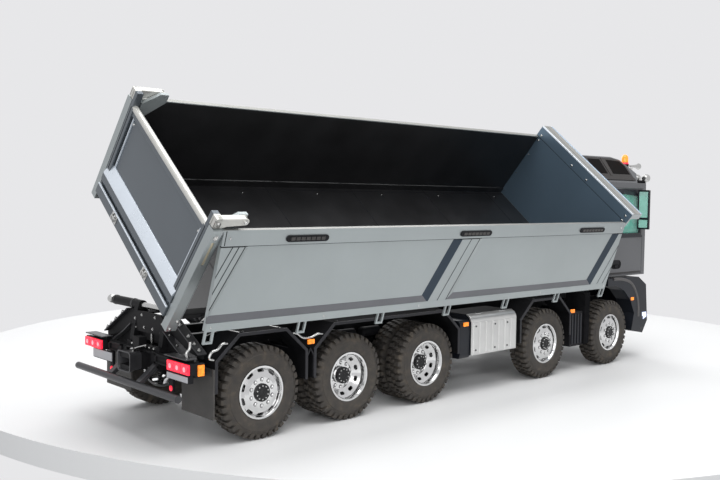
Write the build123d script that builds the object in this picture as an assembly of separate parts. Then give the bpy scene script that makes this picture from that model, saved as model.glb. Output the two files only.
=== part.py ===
from build123d import *
import os
from math import atan2, cos, degrees, hypot, radians, sin

# A five-axle tipper truck as a scale model at about 1:14.5, its bed tipped to the right.
# Lengths are millimetres. X points forward, Y to the truck's left, Z up.
# While modelling, x = 0 is the rearmost axle and z = 0 is the ground. The bed is modelled
# lowered and then tipped. At the end everything moves to the trailer coupling's pin hole.

# Clearances
FIT = 0.05          # radial play of a shaft in its hole
SEAT = 0.3          # gap between a piece and what carries it on another body
SWING = 0.4         # gap round a panel that swings

# Wheels and axles
HALF_WIDTH = 88.0   # centre line to the outer face of a single tyre
TYRE_R = 38.0       # to the tips of the lugs
RIM_R = 21.5
RIM_WALL = 1.6
SINGLE_W = 23.0
LUG_COUNT = 18
LUG_DEPTH = 2.4
SHOULDER = 3.4      # how far the side walls stand out beyond the lugs
TWIN_TYRE_W = 21.0
TWIN_GAP = 2.5
TWIN_INSET = 2.0    # a twin pair's outer face stands this much inside HALF_WIDTH
SPINDLE_R = 3.0
RIM_INSET = 1.4     # the rim's edge stands this much inside the tyre's face
HUB_R = 7.2
NUT_RING_R = 10.7
SLOT_RING_R = 17.6
SLOT_COUNT = 10
SLOT_LENGTH = 6.4
SLOT_WIDTH = 2.2
TWIN_DISH = 13.0    # depth of a twin wheel's disc behind its outer face
HUB_DEPTH = 17.0
AXLE_Z = TYRE_R
# Each axle: name, place, wheels, and for steered ones the share of axle 1's angle
AXLES = [
    ("1", 509.0, "single", 1.0),
    ("2", 380.0, "single", 0.72),
    ("3", 194.0, "twin", 0.0),
    ("4", 95.5, "twin", 0.0),
    ("5", 0.0, "single", -0.5),
]
AXLE_X = {name: x for name, x, wheels, share in AXLES}
TWIN_W = 2 * TWIN_TYRE_W + TWIN_GAP
SINGLE_Y = HALF_WIDTH - SINGLE_W / 2
TWIN_Y = HALF_WIDTH - TWIN_INSET - TWIN_W / 2

# Steering knuckles
KINGPIN_Y = HALF_WIDTH - SINGLE_W - 1.0
KINGPIN_R = 1.5
KNUCKLE_R = 4.0
KNUCKLE_H = 12.0
EAR_T = 2.5
BEAM_W = 8.0
BEAM_H = 8.0
TUBE_R = 5.5        # housing of a driven axle
DIFF_R = 12.5
TUBE_END_Y = HALF_WIDTH - TWIN_INSET - TWIN_W + 5.0

# Frame
RAIL_OUT = 27.0
RAIL_T = 6.0
RAIL_IN = RAIL_OUT - RAIL_T
RAIL_Z = AXLE_Z + 14.5
RAIL_H = 19.5
RAIL_TOP = RAIL_Z + RAIL_H
FRAME_REAR = -58.0
FRAME_FRONT = 576.0
SUB_H = 8.0
SUB_TOP = RAIL_TOP + SUB_H
SUB_FRONT = 456.0
SPRING_Y = (RAIL_OUT + 3.0, RAIL_OUT + 9.0)
LEAF_T = 1.5
SPRING_HALF = 31.0

# Bed, in its lowered place
BED_HALF = 80.0
PIVOT_INSET = 3.0
PIVOT_Y = BED_HALF - PIVOT_INSET    # the balls that the bed tips on
PIVOT_Z = 101.0
BALL_R = 4.0
NECK_R = 2.5
SLEEVE_R = 4.0
SLEEVE_END = PIVOT_Y - 7.0
TUBE_X = (-47.0, 435.0)
BED_TILT = 40.0
FLOOR_T = 1.5
FLOOR_TOP = PIVOT_Z + 6.0
FLOOR_Z = FLOOR_TOP - FLOOR_T
SILL_TOP = FLOOR_TOP + 6.5
GATE_X = -80.0      # rear face of the tailgate
GATE_T = 5.5
POST_LEN = 9.0
POST_T = 7.5
WALL_TOP = PIVOT_Z + 92.0
WALL_BOTTOM = SILL_TOP + 1.5
WALL_T = 4.0
SIDE_PIN_R = 1.2
SIDE_PIN_DROP = 2.0
FRONT_WALL_X = 452.0
FRONT_WALL_T = 3.0
FRONT_WALL_TOP = PIVOT_Z + 105.5
FRONT_RAIL = (19.0, 7.0)    # depth and height of the front wall's top rail
SIDE_OPEN = 22.0    # how far the right wall stands open in the rest pose
GATE_PIN_X = GATE_X + 25.0
GATE_PIN_Z = WALL_TOP + 7.0
GATE_PIN_R = 1.3
ARM_Y = (BED_HALF - 6.8, BED_HALF - 2.0)
LUG_T = 3.0
LOOP_COUNT = 7
LOOP_W = 8.0

# Guards over the wheels, from their axle's place
GUARD_2 = (-47.0, 46.5)
COLUMN_X = -56.0

# Tipping cylinder
RAM_X = 238.0
RAM_BASE_Z = RAIL_TOP + 3.0
RAM_R = (11.0, 8.2, 5.5)
RAM_LEN = (46.0, 46.0, 46.0)
RAM_BELOW = 22.0
TRUNNION_R = 2.0
RAM_BALL_R = 3.2
RAM_CUP_PLAY = 2.0  # the open pivot drifts this much within its cup
RAM_TOP_Z = FLOOR_Z - 1.5

# Cab
CAB_HALF = 80.0
CAB_REAR = 477.0
CAB_FRONT = 596.0
CAB_Z = PIVOT_Z + 2.0
CAB_WALL = 2.0
SILL_Z = 155.0      # lower edge of the windows
BROW_Z = 217.0      # top of the windscreen
ROOF_Z = 249.0
ROOF_HALF = 58.0
# front of the roof from the top down: distance behind the cab's front, height under the roof
ROOF_NOSE = [(52.0, 0.5), (34.0, 3.5), (20.5, 13.0), (1.5, 28.0)]
ROOF_CORNER = (22.0, 16.0)  # cut off the front corners above the windscreen, along X and Y
VISOR_X = CAB_FRONT + 9.0
BEACON_AT = (CAB_FRONT - 20.5, 61.0)
HORN_AT = (CAB_FRONT - 8.0, 63.0)
HORN_LEN = 28.0
MIRROR_X = 572.0
MIRROR_Z = (160.0, 208.0)
MIRROR_W = 15.0
DOOR_X = (506.0, 588.6)
DOOR_Z = (CAB_Z + 2.5, 210.0)
DOOR_T = 2.0
CAB_PIN = (592.0, 101.0)
CAB_PIN_R = 1.0
CAB_EAR_R = 1.8

# Trailer coupling, the origin of the finished part
COUPLING_X = -67.0
COUPLING_Z = 59.0
COUPLING_R = 1.4


def box(x, y, z):
    """A block between two x, two y and two z values."""
    size = (x[1] - x[0], y[1] - y[0], z[1] - z[0])
    return Pos((x[0] + x[1]) / 2, (y[0] + y[1]) / 2, (z[0] + z[1]) / 2) * Box(*size)


def rod_x(x, y, z, r):
    """A round bar along X between two x values."""
    return Pos((x[0] + x[1]) / 2, y, z) * Rot(0, 90, 0) * Cylinder(r, x[1] - x[0])


def rod_y(x, y, z, r):
    """A round bar along Y between two y values."""
    return Pos(x, (y[0] + y[1]) / 2, z) * Rot(90, 0, 0) * Cylinder(r, y[1] - y[0])


def rod_z(x, y, z, r):
    """A round bar along Z between two z values."""
    return Pos(x, y, (z[0] + z[1]) / 2) * Cylinder(r, z[1] - z[0])


def rod_between(a, b, r):
    """A round bar between two points."""
    line = Vector(*b) - Vector(*a)
    place = Plane(origin=a, z_dir=line)
    return extrude(place * Circle(r), amount=line.length)


def plate_xz(points, y):
    """An outline of (x, z) points, thick between two y values."""
    side = Plane(origin=(0, y[0], 0), x_dir=(1, 0, 0), z_dir=(0, -1, 0))
    face = side * make_face(Polyline(*points, close=True))
    return extrude(face, amount=y[1] - y[0], dir=(0, 1, 0))


def plate_yz(points, x):
    """An outline of (y, z) points, thick between two x values."""
    end = Plane(origin=(x[0], 0, 0), x_dir=(0, 1, 0), z_dir=(1, 0, 0))
    face = end * make_face(Polyline(*points, close=True))
    return extrude(face, amount=x[1] - x[0], dir=(1, 0, 0))


def turned(points):
    """A ring or disc turned about Y from (radius, y) points."""
    return revolve(make_face(Polyline(*points, close=True)), axis=Axis.Y)


def mirrored(shape):
    """The same shape on the other side of the truck."""
    return mirror(shape, about=Plane.XZ)


def pair(shape):
    """A shape and its mirror image."""
    return shape + mirrored(shape)


def tipped(shape):
    """A bed piece turned from its lowered place about the right-hand balls."""
    return shape.rotate(Axis((0, -PIVOT_Y, PIVOT_Z), (1, 0, 0)), BED_TILT)


def ring_points(radius, steps, turn=0.0):
    """Points of a regular outline in (x, z), its corners on a radius."""
    angles = [radians(turn + 360 * i / steps) for i in range(steps)]
    return [(radius * cos(a), radius * sin(a)) for a in angles]


def lug_outline():
    """The tread seen from the side: blocks out to TYRE_R with gaps between them."""
    pitch = 360 / LUG_COUNT
    # share of the pitch, radius
    corners = [(-0.32, TYRE_R), (0.32, TYRE_R), (0.38, TYRE_R - LUG_DEPTH), (0.62, TYRE_R - LUG_DEPTH)]
    points = []
    for i in range(LUG_COUNT):
        for share, radius in corners:
            angle = radians(pitch * (i + share))
            points.append((radius * cos(angle), radius * sin(angle)))
    return points


def tyre_side(width, y_sign):
    """The side wall of a tyre, narrowing from the tread to the bead."""
    outer = TYRE_R - LUG_DEPTH - 0.6
    planes = [Plane(origin=(0, y_sign * y, 0), x_dir=(1, 0, 0), z_dir=(0, -1, 0))
              for y in (width / 2 - SHOULDER, width / 2)]
    radii = (outer, outer - 2.4)
    faces = [plane * make_face(Polyline(*ring_points(r, LUG_COUNT), close=True)) for plane, r in zip(planes, radii)]
    return loft(faces, ruled=True)


def tyre(width, lugged=True):
    """A tyre with its middle at the origin: tread, two side walls and the bore for the rim."""
    half = width / 2 - SHOULDER
    if lugged:
        body = plate_xz(lug_outline(), (-half, half)) + tyre_side(width, 1) + tyre_side(width, -1)
    else:
        body = plate_xz(ring_points(TYRE_R - 0.4, LUG_COUNT), (-width / 2, width / 2))
    bore = (RIM_R + FIT) / cos(radians(180 / LUG_COUNT))
    return body - plate_xz(ring_points(bore, LUG_COUNT), (-width, width))


def slots(ring_r, count, length, width, y):
    """Oval windows through a wheel's disc, in a ring about Y."""
    cut = Part()
    for i in range(count):
        angle = 360 * i / count
        window = Rot(0, angle, 0) * Pos(0, 0, ring_r) * Rot(90, 0, 0)
        cut += Pos(0, y, 0) * window * extrude(SlotOverall(length, width), amount=6, both=True)
    return cut


def rim_barrel(width):
    """The rim's barrel with a rolled lip at each edge."""
    edge = width / 2 - RIM_INSET
    inner = RIM_R - RIM_WALL
    outline = [(RIM_R, -edge), (RIM_R, edge), (inner, edge), (inner - 0.8, edge - 1.5), (inner, edge - 3.0),
               (inner, -edge + 3.0), (inner - 0.8, -edge + 1.5), (inner, -edge)]
    return turned(outline)


def single_rim():
    """A single wheel's rim, outer face towards -Y: barrel, bulging disc with oval slots, hub."""
    half = SINGLE_W / 2
    inner = RIM_R - RIM_WALL
    disc = turned([
        (inner + 0.2, -half + 4.2), (inner + 0.2, -half + 5.6), (SLOT_RING_R - 2.0, -half + 3.8),
        (HUB_R - 0.2, -half + 3.0), (HUB_R - 0.2, -half + 1.4), (NUT_RING_R + 1.6, -half + 1.4),
        (SLOT_RING_R - 1.6, -half + 2.2)])
    disc -= slots(SLOT_RING_R, SLOT_COUNT, SLOT_LENGTH, SLOT_WIDTH, -half + 3.0)
    hub = rod_y(0, (-half + 0.4, -half + HUB_DEPTH), 0, HUB_R)
    bore = rod_y(0, (-half + 3.0, half + 10.0), 0, SPINDLE_R + FIT)
    return rim_barrel(SINGLE_W) + disc + hub - bore


def twin_rim():
    """A twin wheel's rim, outer face towards -Y: long barrel, deep disc, hub."""
    half = TWIN_W / 2
    inner = RIM_R - RIM_WALL
    face = -half + TWIN_DISH
    disc = turned([
        (inner + 0.2, face - 5.0), (inner + 0.2, face - 3.4), (NUT_RING_R + 2.0, face + 1.6),
        (HUB_R - 0.2, face + 1.6), (HUB_R - 0.2, face), (NUT_RING_R + 2.0, face)])
    disc -= slots((inner + NUT_RING_R + 2.0) / 2, SLOT_COUNT, SLOT_LENGTH - 1.5, SLOT_WIDTH + 0.4, face - 2.0)
    hub = rod_y(0, (face - 4.0, half - 8.0), 0, HUB_R)
    bore = rod_y(0, (face - 1.0, half + 10.0), 0, SPINDLE_R + FIT)
    return rim_barrel(TWIN_W) + disc + hub - bore


def placed(shape, x, y, side):
    """A right-hand wheel piece put on its axle, or mirrored to the left side."""
    right = Pos(x, -y, AXLE_Z) * shape
    return right if side == "right" else mirrored(right)


def knuckle(x):
    """A steering knuckle: kingpin boss and spindle, on the right-hand side."""
    half = SINGLE_W / 2
    boss = rod_z(x, -KINGPIN_Y, (AXLE_Z - KNUCKLE_H / 2, AXLE_Z + KNUCKLE_H / 2), KNUCKLE_R)
    tip = SINGLE_Y + half - 3.0 - SEAT
    spindle = rod_y(x, (-tip, -KINGPIN_Y), AXLE_Z, SPINDLE_R)
    collar_end = SINGLE_Y + half - HUB_DEPTH - SEAT
    collar = rod_y(x, (-collar_end, -KINGPIN_Y), AXLE_Z, SPINDLE_R + 1.5)
    return boss + spindle + collar - rod_z(x, -KINGPIN_Y, (AXLE_Z - 20, AXLE_Z + 20), KINGPIN_R + FIT)


def steered_beam(x):
    """A steered axle's beam with a fork and kingpin at each end."""
    web_y = KINGPIN_Y - KNUCKLE_R - SEAT
    ear_z = KNUCKLE_H / 2 + SEAT
    beam = box((x - BEAM_W / 2, x + BEAM_W / 2), (-web_y, web_y), (AXLE_Z - BEAM_H / 2, AXLE_Z + BEAM_H / 2))
    fork = box((x - BEAM_W / 2, x + BEAM_W / 2), (-web_y, -web_y + 2.2),
               (AXLE_Z - ear_z - EAR_T, AXLE_Z + ear_z + EAR_T))
    for low in (AXLE_Z + ear_z, AXLE_Z - ear_z - EAR_T):
        fork += box((x - KNUCKLE_R, x + KNUCKLE_R), (-KINGPIN_Y, -web_y + 1.0), (low, low + EAR_T))
        fork += rod_z(x, -KINGPIN_Y, (low, low + EAR_T), KNUCKLE_R)
    fork += rod_z(x, -KINGPIN_Y, (AXLE_Z - ear_z - EAR_T, AXLE_Z + ear_z + EAR_T), KINGPIN_R)
    return beam + pair(fork)


def driven_axle(x):
    """A driven axle: housing tube, round gear case, and a spindle each side."""
    tube = rod_y(x, (-TUBE_END_Y, TUBE_END_Y), AXLE_Z, TUBE_R)
    case = Pos(x, 0, AXLE_Z) * Sphere(DIFF_R)
    nose = rod_x((x, x + DIFF_R + 4.0), 0, AXLE_Z + 3.0, 5.0)
    tip = TWIN_Y + TWIN_W / 2 - TWIN_DISH + 1.0 - SEAT
    seats = rod_y(x, (-tip, tip), AXLE_Z, SPINDLE_R)
    return tube + case + nose + seats


def spring(x, axle_half_height):
    """A stepped leaf spring over one axle, right-hand side, with its seat block."""
    low = AXLE_Z + TUBE_R + 0.2
    stack = box((x - 6.0, x + 6.0), (-SPRING_Y[1], -SPRING_Y[0]), (AXLE_Z + axle_half_height, low))
    for i, share in enumerate((0.45, 0.7, 1.0)):
        half = SPRING_HALF * share
        stack += box((x - half, x + half), (-SPRING_Y[1], -SPRING_Y[0]), (low + i * LEAF_T, low + (i + 1) * LEAF_T))
    return stack


def frame():
    """Two rails with cross members, spring hangers and cab stands."""
    rail = box((FRAME_REAR, FRAME_FRONT), (-RAIL_OUT, -RAIL_IN), (RAIL_Z, RAIL_TOP))
    rail -= box((FRAME_REAR - 1, FRAME_FRONT + 1), (-RAIL_OUT + 2.0, -RAIL_IN + 1.0), (RAIL_Z + 2.0, RAIL_TOP - 2.0))
    body = pair(rail)
    # rear end plate, gaps between axles, front end
    gaps = (44.0, 144.0, RAM_X + 47.0, 330.0, 425.0, 470.0)
    for x in (FRAME_REAR, *gaps, FRAME_FRONT - 5.0):
        body += box((x, x + 5.0), (-RAIL_OUT, RAIL_OUT), (RAIL_Z + 1.0, RAIL_TOP - 1.0))
    leaf_top = AXLE_Z + TUBE_R + 0.2 + 3 * LEAF_T
    for name, x, wheels, share in AXLES:
        for end in (-1, 1):
            at = x + end * (SPRING_HALF - 2.0)
            hanger = box((at - 2.0, at + 2.0), (-SPRING_Y[1], -RAIL_OUT + 1.0), (leaf_top, RAIL_Z + 6.0))
            body += pair(hanger)
    stand = box((CAB_REAR + 4.0, CAB_REAR + 12.0), (-RAIL_OUT, -RAIL_IN), (RAIL_TOP - 1.0, CAB_Z - SEAT))
    pin_x, pin_z = CAB_PIN
    ear = box((pin_x - CAB_EAR_R, pin_x + CAB_EAR_R), (-RAIL_OUT, -RAIL_OUT + 4.0), (RAIL_TOP - 6.0, pin_z))
    ear += rod_y(pin_x, (-RAIL_OUT, -RAIL_OUT + 4.0), pin_z, CAB_EAR_R)
    ear += box((FRAME_FRONT - 4.0, pin_x + CAB_EAR_R), (-RAIL_OUT, -RAIL_OUT + 4.0), (RAIL_TOP - 8.0, RAIL_TOP - 4.0))
    ear -= rod_y(pin_x, (-RAIL_OUT - 1.0, -RAIL_OUT + 5.0), pin_z, CAB_PIN_R + FIT)
    gusset = [(-RAIL_OUT, 56.0), (-RAIL_OUT, 85.0), (-39.0, 77.5), (-61.0, 66.0), (-75.0, 60.0), (-75.0, 56.0)]
    stand += plate_yz(gusset, (TUBE_X[0] - 3.5, TUBE_X[0] - 1.0))
    return body + pair(stand + ear + lamp_bracket())


def tipping_subframe():
    """Rails on the frame, uprights with the two cross sleeves, and the cylinder's cradle."""
    rails = pair(box((TUBE_X[0] - 6.0, SUB_FRONT), (-RAIL_OUT, -RAIL_IN), (RAIL_TOP, SUB_TOP)))
    body = rails
    for x in TUBE_X:
        foot = [(x - 9.0, RAIL_TOP), (x + 9.0, RAIL_TOP), (x + 4.0, PIVOT_Z), (x - 4.0, PIVOT_Z)]
        body += pair(plate_xz(foot, (-RAIL_OUT, -RAIL_IN)))
        body += pair(rod_y(x, (-SLEEVE_END, -RAIL_IN + 1.0), PIVOT_Z, SLEEVE_R))
        body += box((x - 2.0, x + 2.0), (-RAIL_OUT, RAIL_OUT), (RAIL_TOP + 1.0, SUB_TOP - 1.0))
    end = [(-RAIL_OUT, SUB_TOP), (-RAIL_OUT, 91.0), (-20.0, 97.0), (20.0, 97.0), (RAIL_OUT, 91.0), (RAIL_OUT, SUB_TOP)]
    body += plate_yz(end, (TUBE_X[0] - 6.0, TUBE_X[0] - 4.0))
    for x in TUBE_X:
        body -= rod_y(x, (-90, 90), PIVOT_Z, NECK_R + FIT)
    reach = RAM_R[0] + 2.0
    cradle = box((RAM_X - reach - 6.0, RAM_X + reach + 6.0), (-RAIL_IN - 1.0, RAIL_IN + 1.0), (RAIL_TOP, RAIL_TOP + 6.0))
    cradle -= box((RAM_X - reach, RAM_X + reach), (-RAIL_IN + 3.0, RAIL_IN - 3.0), (RAIL_TOP - 1, RAIL_TOP + 7.0))
    cradle -= rod_x((RAM_X - 30, RAM_X + 30), 0, RAM_BASE_Z, TRUNNION_R + FIT)
    return body + cradle


def bed_journals():
    """The two cross shafts whose ball ends carry the bed."""
    shafts = Part()
    for x in TUBE_X:
        shafts += rod_y(x, (-PIVOT_Y, PIVOT_Y), PIVOT_Z, NECK_R)
        shafts += pair(Pos(x, -PIVOT_Y, PIVOT_Z) * Sphere(BALL_R))
    return shafts


def bed_floor():
    """Floor plate with edge sills, lengthwise bearers and saddles over the balls."""
    rear = GATE_X + POST_LEN
    floor = box((rear, FRONT_WALL_X), (-BED_HALF + 2.0, BED_HALF - 2.0), (FLOOR_Z, FLOOR_TOP))
    between_posts = BED_HALF - POST_T - SWING
    floor += box((GATE_X + GATE_T + SWING, rear + 1.0), (-between_posts, between_posts), (FLOOR_Z, FLOOR_TOP))
    sill = box((rear, FRONT_WALL_X), (-BED_HALF + 2.5, -BED_HALF + 5.0), (FLOOR_Z - 3.0, SILL_TOP))
    bearer = box((TUBE_X[0] + 8.0, TUBE_X[1] - 8.0), (-35.0, -31.0), (SUB_TOP + 12.0, FLOOR_Z + 0.5))
    side = sill + bearer
    for x in TUBE_X:
        side += box((x - 6.0, x + 6.0), (-PIVOT_Y - 2.0, -PIVOT_Y + 4.6), (PIVOT_Z, FLOOR_Z + 0.5))
    body = floor + pair(side)
    spacing = (TUBE_X[1] - TUBE_X[0]) / 8
    for i in range(1, 8):
        x = TUBE_X[0] + i * spacing
        if abs(x - RAM_X) > 30:
            body += box((x - 1.5, x + 1.5), (-BED_HALF + 4.0, BED_HALF - 4.0), (FLOOR_Z - 4.0, FLOOR_Z + 0.5))
    for x in TUBE_X:
        body -= pair(Pos(x, -PIVOT_Y, PIVOT_Z) * Sphere(BALL_R + SEAT))
        body -= rod_y(x, (-PIVOT_Y, PIVOT_Y), PIVOT_Z, NECK_R + SEAT)
    body += rod_z(RAM_X, 0, (FLOOR_Z - 2.5, FLOOR_Z + 0.5), RAM_BALL_R + RAM_CUP_PLAY + 2.0)
    body -= Pos(RAM_X, 0, RAM_TOP_Z - RAM_BALL_R) * Sphere(RAM_BALL_R + RAM_CUP_PLAY)
    return tipped(body)


def bed_front_wall():
    """Front wall with a deep top rail and three upright ribs."""
    x = FRONT_WALL_X
    half = BED_HALF - 0.5
    wall = box((x, x + FRONT_WALL_T), (-half, half), (FLOOR_Z - 3.0, FRONT_WALL_TOP))
    depth, height = FRONT_RAIL
    wall += box((x, x + depth), (-half, half), (FRONT_WALL_TOP - height, FRONT_WALL_TOP))
    for y in (-50.0, 0.0, 50.0):
        wall += box((x + 2.0, x + 9.0), (y - 4.0, y + 4.0), (FLOOR_Z, FRONT_WALL_TOP - height + 2.0))
    pin_y = BED_HALF - WALL_T / 2
    wall -= pair(rod_x((x - 1, x + 20), -pin_y, WALL_TOP - SIDE_PIN_DROP, SIDE_PIN_R + FIT))
    return tipped(wall)


def bed_posts():
    """Rear corner posts, each with a slot and the lug that carries the tailgate's arm."""
    x = GATE_X
    post = box((x, x + POST_LEN), (-BED_HALF, -BED_HALF + POST_T), (PIVOT_Z - 8.0, WALL_TOP + 1.0))
    post -= box((x + 3.0, x + GATE_T), (-BED_HALF - 1, -BED_HALF + 1.2), (WALL_TOP - 32.0, WALL_TOP - 10.0))
    inner = (-ARM_Y[0] + SWING, -ARM_Y[0] + SWING + LUG_T)
    start = x + GATE_T + SWING
    lug = [(start, WALL_TOP - 16.0), (x + POST_LEN, WALL_TOP - 16.0), (GATE_PIN_X + 3.5, GATE_PIN_Z - 4.0),
           (GATE_PIN_X + 3.5, GATE_PIN_Z + 3.0), (GATE_PIN_X - 3.5, GATE_PIN_Z + 3.0), (x + 8.0, WALL_TOP)]
    post += plate_xz(lug, inner)
    post += rod_y(GATE_PIN_X, (-ARM_Y[1] - 0.5, inner[1]), GATE_PIN_Z, GATE_PIN_R)
    pin_y = BED_HALF - WALL_T / 2
    post -= rod_x((x + 3.0, x + POST_LEN + 1), -pin_y, WALL_TOP - SIDE_PIN_DROP, SIDE_PIN_R + FIT)
    return tipped(pair(post))


def tailgate():
    """Tailgate between the posts: panel, rim, sloped ledge, lower beam, two arms."""
    x = GATE_X
    half = BED_HALF - POST_T - SWING
    low = PIVOT_Z + 0.5
    top = WALL_TOP - 1.5
    gate = box((x + 3.0, x + GATE_T), (-half, half), (low, top))
    gate += box((x, x + GATE_T), (-half, half), (top - 4.0, top))
    gate += pair(box((x, x + GATE_T), (-half, -half + 4.0), (low, top)))
    gate += box((x - 2.0, x + GATE_T), (-half, half), (low, low + 9.0))
    ledge = [(x + 4.0, low + 26.0), (x - 1.0, low + 14.0), (x + 4.0, low + 12.0)]
    gate += plate_xz(ledge, (-half, half))
    for y in (-half * 0.36, half * 0.36):
        gate += rod_y(x - 2.0, (y - 2.0, y + 2.0), low + 4.0, 3.0)
    arm = [(x, top - 1.0), (x + GATE_T, top - 1.0), (x + GATE_T, GATE_PIN_Z - 4.0), (GATE_PIN_X + 3.0, GATE_PIN_Z - 3.0),
           (GATE_PIN_X + 3.0, GATE_PIN_Z + 3.0), (x, GATE_PIN_Z + 3.0)]
    arms = plate_xz(arm, (-ARM_Y[1], -ARM_Y[0]))
    arms -= box((x - 1, x + 6), (-BED_HALF, -half), (top - 5, WALL_TOP + 1.0 + SWING))
    arms += box((x, x + GATE_T), (-ARM_Y[1], -half + 4.0), (WALL_TOP + 1.0 + SWING, GATE_PIN_Z + 3.0))
    arms += box((x, x + GATE_T), (-half, -half + 4.0), (top - 1.0, GATE_PIN_Z + 3.0))
    arms -= rod_y(GATE_PIN_X, (-ARM_Y[1] - 1, -ARM_Y[0] + 1), GATE_PIN_Z, GATE_PIN_R + FIT)
    return tipped(gate + pair(arms))


def side_wall():
    """The right side wall, closed: top band, recessed panel, slanted ribs, ledge, loops."""
    rear = GATE_X + POST_LEN + SWING
    front = FRONT_WALL_X - SWING
    outer = -BED_HALF
    inner = -BED_HALF + WALL_T
    wall = box((rear, front), (outer + 1.8, inner), (WALL_BOTTOM, WALL_TOP))
    wall += box((rear, front), (outer, inner), (WALL_TOP - 12.0, WALL_TOP))
    wall += box((rear, front), (outer, inner), (WALL_BOTTOM, WALL_BOTTOM + 5.0))
    # x of each slanted rib at its top and at its foot
    for top_x, foot_x in ((rear + 16, rear + 1), (208.0, 186.0), (front - 15, front - 37)):
        for shift in (0.0, 9.0):
            rib = [(top_x + shift, WALL_TOP - 11.0), (top_x + shift + 5.0, WALL_TOP - 11.0),
                   (foot_x + shift + 5.0, WALL_BOTTOM + 4.0), (foot_x + shift, WALL_BOTTOM + 4.0)]
            wall += plate_xz(rib, (outer, inner))
    pitch = (front - rear - LOOP_W) / (LOOP_COUNT - 1)
    for i in range(LOOP_COUNT):
        x = rear + i * pitch
        loop = box((x, x + LOOP_W), (outer, outer + 1.6), (WALL_BOTTOM - 10.0, WALL_BOTTOM + 1.0))
        loop -= box((x + 1.6, x + LOOP_W - 1.6), (outer - 1, outer + 3), (WALL_BOTTOM - 8.4, WALL_BOTTOM))
        wall += loop
    pin_y = -BED_HALF + WALL_T / 2
    pin_z = WALL_TOP - SIDE_PIN_DROP
    wall += rod_x((rear - 5.0, rear + 3.0), pin_y, pin_z, SIDE_PIN_R)
    wall += rod_x((front - 3.0, front + SWING + FRONT_WALL_T), pin_y, pin_z, SIDE_PIN_R)
    return wall


def opened(shape, angle):
    """The right wall swung out about its top pins by an angle."""
    top = Axis((0, -BED_HALF + WALL_T / 2, WALL_TOP - SIDE_PIN_DROP), (1, 0, 0))
    return shape.rotate(top, -angle)


def ball_place(tilt):
    """Where the cylinder's ball is in (y, z) at a tilt of the bed."""
    y = PIVOT_Y
    z = RAM_TOP_Z - RAM_BALL_R - PIVOT_Z
    turn = radians(tilt)
    return (-PIVOT_Y + y * cos(turn) - z * sin(turn), PIVOT_Z + y * sin(turn) + z * cos(turn))


BALL_Y, BALL_Z = ball_place(BED_TILT)
RAM_LEAN = degrees(atan2(-BALL_Y, BALL_Z - RAM_BASE_Z))
RAM_REACH = hypot(BALL_Y, BALL_Z - RAM_BASE_Z)
RAM_CLOSED = ball_place(0.0)[1] - RAM_BASE_Z
RAM_STROKE = RAM_REACH - RAM_CLOSED


def leaning(shape):
    """A cylinder piece turned from upright to its lean."""
    return shape.rotate(Axis((0, 0, RAM_BASE_Z), (1, 0, 0)), RAM_LEAN)


def ram_stage(index):
    """Barrel, middle stage or rod of the tipping cylinder, run out to the rest pose."""
    low = RAM_BASE_Z - RAM_BELOW + index * (1.0 + RAM_STROKE / 2)
    high = low + RAM_LEN[index] - index * 1.0
    piece = rod_z(RAM_X, 0, (low, high), RAM_R[index])
    if index < 2:
        piece -= rod_z(RAM_X, 0, (low + 1.0 - SEAT, high + 1), RAM_R[index + 1] + FIT)
    if index == 0:
        piece += rod_x((RAM_X - RAM_R[0] - 6.0, RAM_X - RAM_R[0] + 1.0), 0, RAM_BASE_Z, TRUNNION_R)
        piece += rod_x((RAM_X + RAM_R[0] - 1.0, RAM_X + RAM_R[0] + 6.0), 0, RAM_BASE_Z, TRUNNION_R)
    if index == 2:
        ball_z = RAM_BASE_Z + RAM_REACH
        piece = rod_z(RAM_X, 0, (low, ball_z - 5.0), RAM_R[2]) + rod_z(RAM_X, 0, (low, ball_z), 1.8)
        piece += Pos(RAM_X, 0, ball_z) * Sphere(RAM_BALL_R)
    return leaning(piece)


def cab_outline(inset):
    """Side view of the cab, moved inwards by a wall."""
    nose = [(CAB_FRONT - back - inset * 0.7, ROOF_Z - down - inset) for back, down in reversed(ROOF_NOSE)]
    return [
        (CAB_REAR + inset, CAB_Z + inset),
        (CAB_FRONT - inset, CAB_Z + inset),
        (CAB_FRONT - inset, SILL_Z),
        (CAB_FRONT - 1.0 - inset, BROW_Z - 3.0),
        *nose,
        (CAB_REAR + 6.0 + inset * 0.5, ROOF_Z - 1.0 - inset),
        (CAB_REAR + inset, ROOF_Z - 12.0),
    ]


def cab_solid(inset):
    """The cab's outer or inner form, narrower towards the roof."""
    half = CAB_HALF - inset
    body = plate_xz(cab_outline(inset), (-half, half))
    lean = [(-half, BROW_Z), (-ROOF_HALF + inset, ROOF_Z + 1), (-half - 5, ROOF_Z + 1), (-half - 5, BROW_Z)]
    body -= pair(plate_yz(lean, (CAB_REAR - 5, CAB_FRONT + 5)))
    along, across = ROOF_CORNER
    corner = [(CAB_FRONT - along - inset, -half), (CAB_FRONT, -half + across), (CAB_FRONT + 5, -half + across),
              (CAB_FRONT + 5, -half - 5), (CAB_FRONT - along - inset, -half - 5)]
    cut = extrude(Plane(origin=(0, 0, BROW_Z - inset)) * make_face(Polyline(*corner, close=True)), amount=ROOF_Z)
    return body - pair(cut)


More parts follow.
